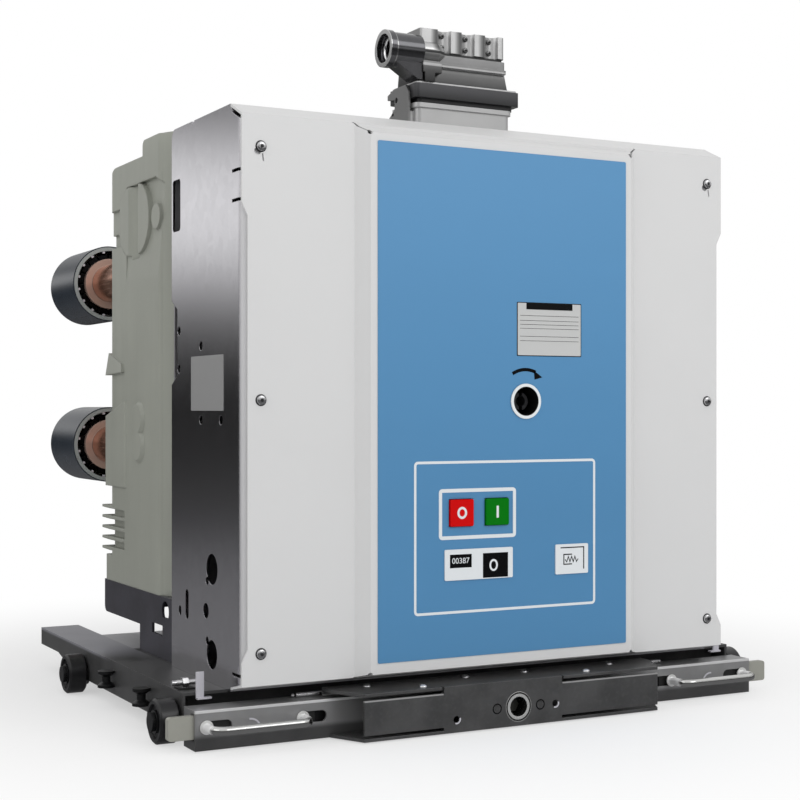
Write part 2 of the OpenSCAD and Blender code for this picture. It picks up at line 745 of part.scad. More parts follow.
// A tulip contact: fingers round the bore, held in a round-edged shield by a web
module tulip_contacts(x) {
    finger_r = tulip_r + finger_t;
    inner = shield_r - shield_t;
    shield = shield_y - seat_y;
    lip_r = 2 * shield_t;
    lip_l = shield + shield_len - lip_r;
    color([0.2, 0.22, 0.26]) for (z = contact_z) difference() {
        turned_y(x, seat_y, z) {
            polygon([[tulip_r, 0], [hook_r - 1, 0], [hook_r, 1], [hook_r, hook_l - 3], [finger_r, hook_l],
                [finger_r, finger_len - 5], [finger_r - 3, finger_len], [tulip_r, finger_len]]);
            translate([tulip_r + finger_t / 2, web_l[0]])
                square([inner - tulip_r - finger_t / 2 + 1, web_l[1] - web_l[0]]);
            translate([inner, shield]) square([shield_t, shield_len - shield_t]);
            difference() {
                translate([shield_r - lip_r, lip_l]) circle(lip_r);
                translate([shield_r - lip_r, lip_l]) circle(shield_t);
                translate([0, lip_l - 2 * lip_r]) square([shield_r + eps, 2 * lip_r]);
                square([shield_r - lip_r - 1, shield_len * 2]);
            }
            for (ring = garters) translate([finger_r, ring]) circle(2.5);
        }
        for (i = [0 : finger_count - 1])
            translate([x, face_y + seat_y, z]) rotate([0, i * 360 / finger_count, 0]) {
                for (part = [[20, web_l[0] - 2], [web_l[1] + 2, finger_len + eps]])
                    translate([tulip_r - 2, part[0], -finger_gap / 2])
                        cube([finger_t + 1.5, part[1] - part[0], finger_gap]);
                translate([finger_r + 1, -eps, -finger_gap / 2])
                    cube([hook_r - finger_r, hook_l + 2 * eps, finger_gap]);
            }
    }
}

shelf_rear = pole_rear + skirt_out;
cheek_x = pole_pitch + pole_round;
cheek_y = pole_front;
cheek_step = pole_front + 113;       // behind this the cheeks end above the truck
cheek_drop = 38;
cheek_r = 8;

// Side outline of a cheek, with its D-shaped slot and its square hole
module cheek_outline() {
    low = shelf_z - cheek_drop;
    difference() {
        union() {
            translate([cheek_y, deck_z]) square([cheek_step - cheek_y, shelf_z - deck_z]);
            translate([cheek_step - eps, low]) square([shelf_rear - cheek_r - cheek_step + eps, cheek_drop]);
            translate([shelf_rear - cheek_r - eps, low + cheek_r]) square([cheek_r + eps, cheek_drop - cheek_r]);
            translate([shelf_rear - cheek_r, low + cheek_r]) circle(cheek_r);
        }
        translate([cheek_y + 29, deck_z + 51.5]) difference() {
            circle(11);
            translate([-12, -12]) square([24, 5]);
        }
        translate([cheek_y + 38, deck_z + 24.5]) square([34, 11]);
    }
}

// Shelf under the poles, with cheeks down to the chassis and a lip along the rear
module pole_shelf() {
    color([0.2, 0.2, 0.22]) {
        span([-cheek_x, cheek_x], [house_d, shelf_rear - cheek_r], [shelf_z - shelf_t, shelf_z]);
        span([-cheek_x + shelf_t, cheek_x - shelf_t], [shelf_rear - cheek_r - eps, shelf_rear],
            [shelf_z - shelf_t, shelf_z]);
        span([-cheek_x + shelf_t, cheek_x - shelf_t], [shelf_rear - shelf_t, shelf_rear],
            [shelf_z - cheek_drop, shelf_z]);
        for (side = [-1, 1]) on_side(side) along_x([cheek_x - shelf_t, cheek_x]) cheek_outline();
    }
}

// ---- Truck ----

half_t = truck_w / 2;
roller_gap = 2;                               // from the rail's web to the roller
roller_x = half_t + roller_gap;
head_x = roller_x + roller_w + slip;          // inner face of the pin's head
pin_head = 3.7;
roller_ys = [roller_front, roller_front + wheelbase];
web_foot = 14.5;                              // lower edge of the rails' webs
web_rear = deck_z - 20;                       // the same towards their rear ends
rail_rear = rail_y + rail_len;
spool_ys = [roller_front + 78, roller_front + 193];
spool_r = 9;
spool_h = 17.5;
spool_z = deck_z - 27;

module rail(side) {
    on_side(side) color([0.3, 0.3, 0.31]) {
        along_x([half_t - plate_t, half_t]) {
            polygon([[rail_y, web_foot], [rail_rear - 141, web_foot], [rail_rear - 75, web_rear],
                [rail_rear, web_rear], [rail_rear, deck_z], [rail_y, deck_z]]);
            for (y = roller_ys) translate([y, roller_r]) circle(pin_r + 7);
        }
        span([half_t - rail_flange, half_t - plate_t], [rail_y, rail_rear], [deck_z - plate_t, deck_z]);
        for (y = roller_ys) {
            rod_x_axis([half_t - plate_t, head_x], y, roller_r, pin_r);
            rod_x_axis([half_t - plate_t, roller_x - 2 * slip], y, roller_r, pin_r + 4);
            rod_x_axis([head_x, head_x + pin_head], y, roller_r, pin_r + 3);
        }
        for (y = spool_ys) translate([half_t + spool_r - eps, face_y + y, spool_z]) rotate_extrude()
            polygon([[0, 0], [spool_r, 0], [spool_r, 3], [spool_r / 2, 6], [spool_r / 2, spool_h - 6],
                [spool_r, spool_h - 3], [spool_r, spool_h], [0, spool_h]]);
    }
}

module roller(side, y) {
    on_side(side) color([0.08, 0.08, 0.08]) translate([roller_x, face_y + y, roller_r])
        rotate([0, 90, 0]) rotate_extrude() polygon([
            [pin_r + run, 0], [roller_r - 2, 0], [roller_r, 2], [roller_r, roller_w - 2],
            [roller_r - 2, roller_w], [roller_r - 5, roller_w], [roller_r - 6, roller_w - 3],
            [pin_r + 5, roller_w - 3], [pin_r + 5, roller_w], [pin_r + run, roller_w]]);
}

lip_foot = 17;       // lower edge of the chassis plate's rear lip

module chassis_plate() {
    edge = half_t - rail_flange;
    color([0.33, 0.33, 0.34]) {
        span([-edge, edge], [rail_y + 4, shelf_rear], [deck_z - plate_t, deck_z]);
        span([-edge, edge], [shelf_rear - plate_t, shelf_rear], [lip_foot, deck_z]);
    }
}

beam_foot = 11;      // lower edge of the front beam
rod_boss_r = 14;
rod_boss_l = 40;
nut_r = 13;
nut_l = 36;          // length of the racking nut, and depth of the beam's top flange
rod_rest = 50;       // how far rods and screw reach behind the beam's front when racked out

module front_beam() {
    edge = half_t - plate_t;
    color([0.3, 0.3, 0.31]) difference() {
        union() {
            span([-edge, edge], [beam_y, beam_y + 2 * plate_t], [beam_foot, deck_z - plate_t]);
            span([-edge, edge], [beam_y, beam_y + nut_l], [deck_z - 2 * plate_t, deck_z - plate_t]);
            for (x = [-rod_x, rod_x]) rod_y(x, [beam_y, beam_y + rod_boss_l], rod_z, rod_boss_r);
            rod_y(0, [beam_y, beam_y + nut_l], screw_z, nut_r);
        }
        for (x = [-rod_x, rod_x])
            rod_y(x, [beam_y - eps, beam_y + rod_boss_l + eps], rod_z, rod_r + run);
        rod_y(0, [beam_y - eps, beam_y + nut_l + eps], screw_z, screw_r + run);
    }
}

bar_half = half_t + 1;
bar_top = bar_z + bar_h;
web_y = [bar_y, bar_y + plate_t];
grip_xs = [bar_half - grip_edge - grip_span, bar_half - grip_edge];
grip_play = 1.5;
tongue_y = [web_y[1] + slip, web_y[1] + slip + 7];
tongue_z = [grip_z - 10.8, grip_z + 10.8];
tongue_play = 1.5;

// Crossbar: a channel open to the rear, closed at its ends, with slots for the handles
module crossbar() {
    color([0.36, 0.36, 0.36]) difference() {
        span([-bar_half, bar_half], [bar_y, bar_y + bar_d], [bar_z, bar_top]);
        span([-bar_half + plate_t, bar_half - plate_t], [web_y[1], bar_y + bar_d + eps],
            [bar_z + plate_t, bar_top - plate_t]);
        for (side = [-1, 1]) on_side(side) {
            for (x = grip_xs) along_y([bar_y - eps, web_y[1] + eps])
                translate([x - grip_travel / 2, grip_z])
                    slot_shape(grip_travel + 2 * (grip_r + grip_play), 2 * (grip_r + grip_play));
            span([bar_half - plate_t - eps, bar_half + eps], [web_y[1], tongue_y[1] + tongue_play],
                [tongue_z[0] - tongue_play, tongue_z[1] + tongue_play]);
        }
        rod_y(0, [bar_y - eps, web_y[1] + eps], screw_z, screw_r + 3);
    }
}

box_flare = 19;
box_z = [bar_z, bar_z + box_h];
box_front = bar_y - box_reach;
lid_rear = bar_y + 17;               // rear of the box's top plate, over the crossbar
face_mid = [-85, 51.5];              // here the face is one with the top and bottom plates
strip_z = [bar_z + 6, bar_z + 39];   // beside it the face is a free strip
relief = [2, 6];                     // small cuts where the strips begin
socket_r = 9.7;
socket_ring = 15;
bearing_l = 10;

// Plan of the box: a straight front and slanted, open ends
module drive_box_plan() {
    polygon([[-box_half - box_flare, bar_y], [-box_half, box_front], [box_half, box_front],
        [box_half + box_flare, bar_y]]);
}

module drive_box() {
    lid = box_half + box_flare;
    face_y1 = [box_front, box_front + plate_t];
    color([0.33, 0.33, 0.33]) difference() {
        union() {
            along_z([box_z[0], box_z[0] + plate_t]) drive_box_plan();
            along_z([box_z[1] - plate_t, box_z[1]]) drive_box_plan();
            span([-lid, lid], [bar_y - eps, lid_rear], [box_z[1] - plate_t, box_z[1]]);
            span([-lid, lid], [lid_rear - plate_t, lid_rear], [bar_top, box_z[1]]);
            span(face_mid, face_y1, box_z);
            span([-box_half, box_half], face_y1, strip_z);
        }
        for (x = [face_mid[0] - relief[0], face_mid[1]])
            span([x, x + relief[0]], [box_front - eps, box_front + relief[1]], [strip_z[1], box_z[1] + eps]);
        rod_y(0, [box_front - eps, box_front + plate_t + eps], screw_z, socket_ring + run);
        for (x = [[-71, -6.3], [43.4, -0.5]])
            rod_y(x[0], [box_front - eps, box_front + 2 * plate_t], screw_z + x[1], 3.5);
    }
}

// Round sleeve in the box's face that guides the racking crank and carries the screw
module socket_sleeve() {
    color([0.6, 0.6, 0.62]) difference() {
        rod_y(0, [box_front, bar_y], screw_z, socket_ring);
        rod_y(0, [box_front - eps, bar_y - bearing_l], screw_z, socket_r);
        rod_y(0, [box_front, bar_y + eps], screw_z, screw_r + run);
    }
}

rod_end = beam_y + rod_rest + rack_travel;

module guide_rods() {
    color([0.7, 0.7, 0.72]) for (x = [-rod_x, rod_x]) rod_y(x, [web_y[1], rod_end], rod_z, rod_r);
}

hex_l = 16;
hex_r = 7.5;

module racking_screw() {
    color([0.65, 0.65, 0.67]) {
        rod_y(0, [bar_y - bearing_l, rod_end], screw_z, screw_r);
        translate([0, face_y + bar_y - bearing_l, screw_z]) rotate([90, 0, 0])
            cylinder(h = hex_l, r = hex_r, $fn = 6);
        rod_y(0, [bar_y + slip, bar_y + 10], screw_z, screw_r + 2);
    }
}

grip_bend = 12;      // radius of the handle's bends

module handle(side) {
    front = bar_y - grip_reach + grip_r;
    on_side(side) color([0.8, 0.8, 0.82]) {
        for (x = grip_xs) rod_y(x, [front + grip_bend, tongue_y[0]], grip_z, grip_r);
        rod_x_axis([grip_xs[0] + grip_bend, grip_xs[1] - grip_bend], front, grip_z, grip_r);
        for (i = [0, 1])
            translate([grip_xs[i] + (i == 0 ? grip_bend : -grip_bend), face_y + front + grip_bend, grip_z])
                rotate([0, 0, i == 0 ? 180 : 270]) rotate_extrude(angle = 90)
                    translate([grip_bend, 0]) circle(grip_r);
    }
}

module tongue(side) {
    inner = grip_xs[0] - 14;
    on_side(side) color([0.62, 0.62, 0.59])
        along_y(tongue_y) round_rect([inner, bar_half + tongue_out], tongue_z, 3);
}

// ---- Control plug ----

plug_xs = [plug_x - plug_l / 2, plug_x + plug_l / 2];
plug_ys = [plug_y - plug_d / 2, plug_y + plug_d / 2];
frame_z = house_top + pedestal_h;
hood_z = frame_z + frame_h;
hood_top = hood_z + hood_h;
hood_xs = [plug_xs[0] + 5, plug_xs[1] - 5];       // the hood at its ledge
ledge_z = [hood_top - 16, hood_top - 3];
groove_r = 8;                                     // hollows between the ribs
groove_x = hood_xs[0] + 29;
gland_y = plug_ys[0] + 9;
gland_z = hood_z + 32;
gland_l = 40;
gland_seat = hood_xs[0];
collar_l = 7;                                     // the wide ring at the gland's mouth
neck_r = 13;                                      // the hood's round neck behind the gland
neck_l = [20, 9];                                 // its straight part and its cone
lever_x = plug_xs[0] - 6;
lever_t = 2.5;

module plug_pedestal() {
    color([0.7, 0.7, 0.7]) difference() {
        union() {
            along_z([house_top, frame_z - 5]) round_rect(plug_xs, plug_ys, 6);
            along_z([frame_z - 5, frame_z])
                round_rect([plug_xs[0] - 2, plug_xs[1] + 2], [plug_ys[0] - 2, plug_ys[1] + 2], 6);
            span([lever_x, plug_xs[0] + eps], [plug_ys[0] + 8, plug_ys[1] - 8], [house_top, frame_z - 8]);
            along_x([lever_x, lever_x + lever_t]) lever_outline();
        }
        for (hole = [[plug_y + 8, frame_z + 7, 3], [plug_y + 16, frame_z - 7, 2]])
            rod_x_axis([lever_x - eps, lever_x + lever_t + eps], hole[0], hole[1], hole[2]);
    }
}

// Plate at the pedestal's left end, with two ears to the rear
module lever_outline() {
    ear_y = plug_ys[1] + 1;
    polygon([[plug_ys[0] + 8, house_top], [ear_y - 4, house_top], [ear_y, house_top + 20],
        [plug_y + 12, frame_z - 2], [plug_y + 12, frame_z + 8], [ear_y, frame_z + 10], [ear_y, frame_z + 15],
        [plug_y + 12, frame_z + 20], [plug_ys[0] + 14, frame_z + 20], [plug_ys[0] + 8, frame_z + 12]]);
}

// The frame overhangs its foot and slopes in at its top
module plug_frame() {
    xs = [plug_xs[0] - 3, plug_xs[1] + 10];
    ys = [plug_ys[0] - 4, plug_ys[1] + 4];
    color([0.22, 0.22, 0.23]) {
        along_z([frame_z, frame_z + 5])
            round_rect([plug_xs[0] + 2, plug_xs[1] + 4], [plug_ys[0], plug_ys[1]], 5);
        along_z([frame_z + 5, hood_z - 2]) round_rect(xs, ys, 5);
        along_z([hood_z - 2, hood_z])
            round_rect([xs[0] + 2, xs[1] - 2], [ys[0] + 2, ys[1] - 2], 4);
    }
}

// The hood below its ledge: its front, rear and right end lean in towards the top
module hood_body() {
    lean = 2;
    intersection() {
        along_y([plug_ys[0], plug_ys[1]])
            polygon([[hood_xs[0], hood_z], [hood_xs[1] + lean, hood_z],
                [hood_xs[1], ledge_z[0]], [hood_xs[0], ledge_z[0]]]);
        along_x([plug_xs[0], plug_xs[1]])
            polygon([[plug_ys[0] + 1, hood_z], [plug_ys[1] - 1, hood_z],
                [plug_ys[1] - 4, ledge_z[0]], [plug_ys[0] + 4, ledge_z[0]]]);
    }
}

// Ribs stand between round hollows down the front and the rear
module hood_ribs() {
    difference() {
        along_z([hood_top, hood_top + rib_h])
            round_rect([hood_xs[0], hood_xs[1] - 1], [plug_ys[0] + 2, plug_ys[1] - 2], 3);
        for (i = [0 : rib_count - 2]) for (y = [plug_ys[0] + 1, plug_ys[1] - 1])
            translate([groove_x + i * rib_pitch, face_y + y, hood_top - eps])
                cylinder(h = rib_h + 2 * eps, r = groove_r);
    }
}

module plug_hood() {
    seat = gland_seat + neck_l[0];
    color([0.72, 0.72, 0.72]) {
        hood_body();
        along_z([ledge_z[0], ledge_z[0] + 4]) round_rect([hood_xs[0], hood_xs[1] + 1], [plug_ys[0], plug_ys[1]], 3);
        along_z([ledge_z[0] + 4, ledge_z[1]])
            round_rect([hood_xs[0], hood_xs[1]], [plug_ys[0] + 1.5, plug_ys[1] - 1.5], 3);
        along_z([ledge_z[1], hood_top]) round_rect([hood_xs[0] + 1, hood_xs[1] - 2],
            [plug_ys[0] + 4, plug_ys[1] - 4], 3);
        hood_ribs();
        rod_x_axis([gland_seat, seat], gland_y, gland_z, neck_r);
        translate([seat, face_y + gland_y, gland_z]) rotate([0, 90, 0])
            cylinder(h = neck_l[1], r1 = neck_r, r2 = neck_r - 5);
        span([gland_seat, gland_seat + 22], [plug_ys[0] - 5, plug_ys[0] + 10], [ledge_z[0] - 8, ledge_z[0] + 4]);
        span([gland_seat + 2, gland_seat + 14], [plug_ys[0] - 5, plug_ys[0] + 10],
            [hood_z, ledge_z[0] - 8]);
    }
}

// A wide mouth ring, a body and a web below it
module cable_gland() {
    mouth = gland_seat - gland_l;
    body_r = gland_r - 1.5;
    color([0.3, 0.3, 0.31]) difference() {
        union() {
            rod_x_axis([mouth, mouth + collar_l], gland_y, gland_z, gland_r);
            rod_x_axis([mouth + collar_l, gland_seat], gland_y, gland_z, body_r);
            along_y([gland_y - 12, gland_y + 12]) polygon([[mouth + collar_l, gland_z - body_r + 5],
                [gland_seat, gland_z - body_r + 5], [gland_seat, hood_z + 1.5], [gland_seat - 5, hood_z + 1.5]]);
        }
        rod_x_axis([mouth - eps, gland_seat - 4], gland_y, gland_z, gland_bore);
    }
}

front_cover();
blue_panel();
crank_port();
indicator_bezel();
indicator_windows();
side_plate(-1);  // side_plate_left
side_plate(1);  // side_plate_right
top_plate();
rear_plate();
base_plate();
mechanism_box();
pole_housing(pole_xs[0]);  // pole_left
pole_housing(pole_xs[1]);  // pole_centre
pole_housing(pole_xs[2]);  // pole_right
contact_arms(pole_xs[0]);  // arms_left
contact_arms(pole_xs[1]);  // arms_centre
contact_arms(pole_xs[2]);  // arms_right
tulip_contacts(pole_xs[0]);  // tulips_left
tulip_contacts(pole_xs[1]);  // tulips_centre
tulip_contacts(pole_xs[2]);  // tulips_right
pole_shelf();
rail(-1);  // rail_left
rail(1);  // rail_right
chassis_plate();
front_beam();
crossbar();
drive_box();
socket_sleeve();
guide_rods();
racking_screw();
handle(-1);  // handle_left
handle(1);  // handle_right
tongue(-1);  // tongue_left
tongue(1);  // tongue_right
roller(-1, roller_ys[0]);  // roller_front_left
roller(1, roller_ys[0]);  // roller_front_right
roller(-1, roller_ys[1]);  // roller_rear_left
roller(1, roller_ys[1]);  // roller_rear_right
button(-1);  // button_off
button(1);  // button_on
crank_coupling();
plug_pedestal();
plug_frame();
plug_hood();
cable_gland();
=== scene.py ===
"""Finishes, fasteners, plates and stage of a withdrawable vacuum circuit breaker.

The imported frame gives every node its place. This script gives each node its finish and adds the small
pieces that the frame leaves out. All lengths in the settings are metres.
"""

import json
import math

import bmesh
import bpy
import numpy as np
from mathutils import Matrix, Vector


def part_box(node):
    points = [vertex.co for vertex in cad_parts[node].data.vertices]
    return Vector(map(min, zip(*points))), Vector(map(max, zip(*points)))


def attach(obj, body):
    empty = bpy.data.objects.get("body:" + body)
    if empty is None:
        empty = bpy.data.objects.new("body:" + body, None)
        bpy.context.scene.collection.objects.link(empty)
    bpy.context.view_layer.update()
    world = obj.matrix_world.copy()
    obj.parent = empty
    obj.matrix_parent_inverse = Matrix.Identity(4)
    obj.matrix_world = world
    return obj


bl_info = {
    "name": "Withdrawable vacuum circuit breaker",
    "version": (1, 0, 0),
    "blender": (4, 5, 0),
    "location": "View3D > Sidebar > Breaker",
    "description": "Finishes, fasteners, plates and stage of a vacuum circuit breaker on its truck",
    "category": "Object",
}

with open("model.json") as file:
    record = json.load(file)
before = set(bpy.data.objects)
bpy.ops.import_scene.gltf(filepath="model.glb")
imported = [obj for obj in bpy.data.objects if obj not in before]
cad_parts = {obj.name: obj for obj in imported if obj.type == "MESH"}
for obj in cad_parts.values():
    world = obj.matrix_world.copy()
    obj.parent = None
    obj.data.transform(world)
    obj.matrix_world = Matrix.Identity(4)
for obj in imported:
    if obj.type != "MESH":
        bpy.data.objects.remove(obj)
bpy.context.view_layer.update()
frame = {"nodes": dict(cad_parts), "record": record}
NODES = frame["nodes"]


def middle(node):
    """The middle of a node's box."""
    low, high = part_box(node)
    return (low + high) / 2


MM = 0.001
SKIN = 0.15 * MM          # how far a printed mark stands on its plate
TURN = 2 * math.pi

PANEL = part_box("blue_panel")
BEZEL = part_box("indicator_bezel")
DECK_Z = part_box("chassis_plate")[1].z
PANEL_Y = PANEL[0].y
COVER_Y = PANEL[1].y + 11 * MM      # the cover's flat face, behind the raised centre
PORT_X, _, PORT_Z = middle("crank_port")
RIB_PITCH = 29 * MM                 # between the ribs of the plug's hood
SIDES = ("left", "right")
POLES = ("left", "centre", "right")
FRONT = (0, -1, 0)                  # the way that the front looks


# ---- Surfaces ----

def row(*values):
    """A row of numbers as an array."""
    return np.array(values, float)


def on_circle(turn):
    """Points (cos t, sin t) of the unit circle."""
    return np.stack([np.cos(turn), np.sin(turn)], axis=1)


def circle(radius, count):
    """Points on a circle: (r cos t, r sin t) with t in equal steps."""
    return radius * on_circle(np.arange(count) * TURN / count)


def arc(centre, radius, start, end, count):
    """Points on an arc between two angles in degrees: centre + r (cos t, sin t)."""
    return row(*centre) + radius * on_circle(np.radians(np.linspace(start, end, count)))


def pairs(*values):
    """Points of an outline or a profile, from its numbers in turn."""
    return row(*values).reshape(-1, 2)


def round_rect(width, height, radius, steps=5):
    """A rectangle whose corners are quarter circles, anticlockwise."""
    quarter = np.linspace(0, TURN / 4, steps)
    half = row(width / 2 - radius, height / 2 - radius)
    signs = ((1, 1), (-1, 1), (-1, -1), (1, -1))
    return np.concatenate([radius * on_circle(quarter + k * TURN / 4) + half * row(*sign)
                           for k, sign in enumerate(signs)])


def unit(rows):
    """Each row brought to the length 1."""
    return rows / np.linalg.norm(rows, axis=1)[:, None]


def with_y(flat, y):
    """Rows of X and Z made rows of X, Y and Z."""
    return np.insert(flat, 1, y, axis=1)


def grid_faces(rows, columns, wrap_rows, wrap_columns):
    """Quads between neighbours of a grid of points, as an array of corner numbers."""
    i = np.arange(rows if wrap_rows else rows - 1)
    j = np.arange(columns if wrap_columns else columns - 1)
    i, j = (a.ravel() for a in np.meshgrid(i, j, indexing="ij"))
    i2, j2 = (i + 1) % rows, (j + 1) % columns
    return np.stack([i * columns + j, i * columns + j2, i2 * columns + j2, i2 * columns + j], axis=1)


def put_in_scene(name, data):
    """A new object of the scene."""
    made = bpy.data.objects.new(name, data)
    bpy.context.scene.collection.objects.link(made)
    return made


def frame_of(axis):
    """Two directions square to an axis, so that right x up = axis."""
    axis = Vector(axis).normalized()
    right = axis.orthogonal().normalized()
    if abs(axis.z) < 0.9:
        right = Vector((0, 0, 1)).cross(axis).normalized()
    return np.array(right), np.array(axis.cross(right)), np.array(axis)


def contact_mouths(node):
    """The radius of a pole's two tulip contacts, and the middle of each one's front."""
    low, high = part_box(node)
    radius = (high.x - low.x) / 2
    return radius, [row((low.x + high.x) / 2, low.y, z) for z in (low.z + radius, high.z - radius)]


class Shell:
    """Collects closed surfaces that make up one piece, as whole arrays."""

    def __init__(self):
        self.parts = []

    def add(self, points, quads, caps, mark):
        """Points as rows of X, Y, Z; quads and caps as corner numbers among them."""
        corners = np.concatenate([quads.ravel(), *caps])
        sizes = [4] * len(quads) + [len(cap) for cap in caps]
        self.parts.append((points.reshape(-1, 3), corners, sizes, [mark] * len(sizes)))

    def sweep(self, outline, places, right, up, closed=False, mark=0):
        """A flat outline (a, b) carried along places: point = place + a right + b up at each place."""
        places = np.asarray(places, float)
        right = np.broadcast_to(right, places.shape)
        up = np.broadcast_to(up, places.shape)
        points = places[:, None] + outline[:, :1] * right[:, None] + outline[:, 1:] * up[:, None]
        rows, columns = points.shape[:2]
        last = (rows - 1) * columns
        caps = () if closed else (np.arange(columns)[::-1], np.arange(last, last + columns))
        self.add(points, grid_faces(rows, columns, closed, True), caps, mark)

    def turned(self, profile, centre, axis, count=32, mark=0):
        """A profile (radius, height) turned about an axis: centre + r (cos t, sin t) + h axis."""
        right, up, along = frame_of(axis)
        spin = circle(1.0, count) @ np.stack([right, up])
        points = row(*centre) + profile[:, None, :1] * spin + profile[:, None, 1:] * along
        self.add(points, grid_faces(len(profile), count, False, True), (), mark)

    def bar(self, outline, start, end):
        """An outline carried straight from one point to another."""
        right, up, _ = frame_of(end - start)
        self.sweep(outline, [start, end], right, up)

    def box(self, low, high, radius, mark=0):
        """A block with round vertical corners between two opposite corners."""
        (x0, y0, z0), (x1, y1, z1) = low, high
        outline = round_rect(x1 - x0, y1 - y0, radius, 4) + row(x0 + x1, y0 + y1) / 2
        self.sweep(outline, [(0, 0, z0), (0, 0, z1)], (1, 0, 0), (0, 1, 0), mark=mark)

    def plate(self, outline, y, centre=(0, 0), mark=0):
        """An outline in X and Z carried from y[0] to y[1]."""
        flat = outline + row(*centre)
        self.sweep(flat, [(0, y[1], 0), (0, y[0], 0)], (1, 0, 0), (0, 0, 1), mark=mark)

    def ribbon(self, path, width, y, closed=False):
        """A band of constant width along a path in X and Z, mitred at its corners."""
        if closed:
            before, after = np.roll(path, 1, axis=0), np.roll(path, -1, axis=0)
        else:
            before = np.vstack([2 * path[:1] - path[1:2], path[:-1]])
            after = np.vstack([path[1:], 2 * path[-1:] - path[-2:-1]])
        quarter_turn = row(-1, 1)
        a, b = unit(path - before), unit(after - path)
        side = unit((a + b)[:, ::-1] * quarter_turn)
        mitre = (side * a[:, ::-1] * quarter_turn).sum(axis=1)
        side /= np.maximum(mitre, 0.3)[:, None]
        half, deep = width / 2, (y[1] - y[0]) / 2
        outline = pairs(half, deep, -half, deep, -half, -deep, half, -deep)
        self.sweep(outline, with_y(path, (y[0] + y[1]) / 2), with_y(side, 0), (0, 1, 0), closed)

    def with_mirror(self):
        """Adds the same surfaces with X turned round; piece() turns their faces outwards again."""
        self.parts += [(points * row(-1, 1, 1), *rest) for points, *rest in self.parts]
        return self

    def piece(self, name, slot, body="breaker", finishes=()):
        """Puts the surfaces into one object that rides on a body, by default in its slot's finish."""
        points, corners, sizes, marks = zip(*self.parts)
        first = np.cumsum([0] + [len(part) for part in points])
        corners = np.concatenate([part + start for part, start in zip(corners, first)])
        points, sizes, marks = (np.concatenate(parts) for parts in (points, sizes, marks))
        mesh = bpy.data.meshes.new(name)
        mesh.vertices.add(len(points))
        mesh.vertices.foreach_set("co", points.ravel())
        mesh.loops.add(len(corners))
        mesh.loops.foreach_set("vertex_index", corners)
        mesh.polygons.add(len(sizes))
        mesh.polygons.foreach_set("loop_start", np.cumsum(sizes) - sizes)
        mesh.polygons.foreach_set("material_index", marks)
        mesh.update(calc_edges=True)
        for finish in finishes or (slot,):
            mesh.materials.append(FINISHES[finish])
        work = bmesh.new()
        work.from_mesh(mesh)
        bmesh.ops.remove_doubles(work, verts=work.verts, dist=1e-6)
        bmesh.ops.recalc_face_normals(work, faces=work.faces)
        work.to_mesh(mesh)
        work.free()
        mesh.shade_smooth()
        mesh.set_sharp_from_angle(angle=math.radians(35))
        piece = put_in_scene(name, mesh)
        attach(piece, body)


# ---- Shader building ----

FINISHES = {}


class Signal:
    """A number that changes over a surface; arithmetic on it adds Math nodes."""

    def __init__(self, finish, socket):
        self.finish = finish
        self.socket = socket

    def math(self, operation, *values):
        sockets = dict(enumerate((self,) + values))
        return self.finish.node("Math", {"operation": operation}, sockets)

    def __add__(self, other):
        return self.math("ADD", other)

    def __sub__(self, other):
        return self.math("SUBTRACT", other)

    def __mul__(self, other):
        return self.math("MULTIPLY", other)

    def __truediv__(self, other):
        return self.math("DIVIDE", other)

    def __pow__(self, other):
        return self.math("POWER", other)

    def __rsub__(self, other):
        return self.finish.node("Math", {"operation": "SUBTRACT"}, {0: other, 1: self})

    __radd__ = __add__
    __rmul__ = __mul__

    def ramp(self, low, high):
        """0 below low, 1 above high, and a smooth step between."""
        return self.finish.node("MapRange", {"interpolation_type": "SMOOTHSTEP"},
                                {"Value": self, "From Min": low, "From Max": high})

    def band(self, low, high, soft):
        """1 from low to high, with smooth flanks of the width soft above each."""
        return self.ramp(low, low + soft) * (1 - self.ramp(high, high + soft))


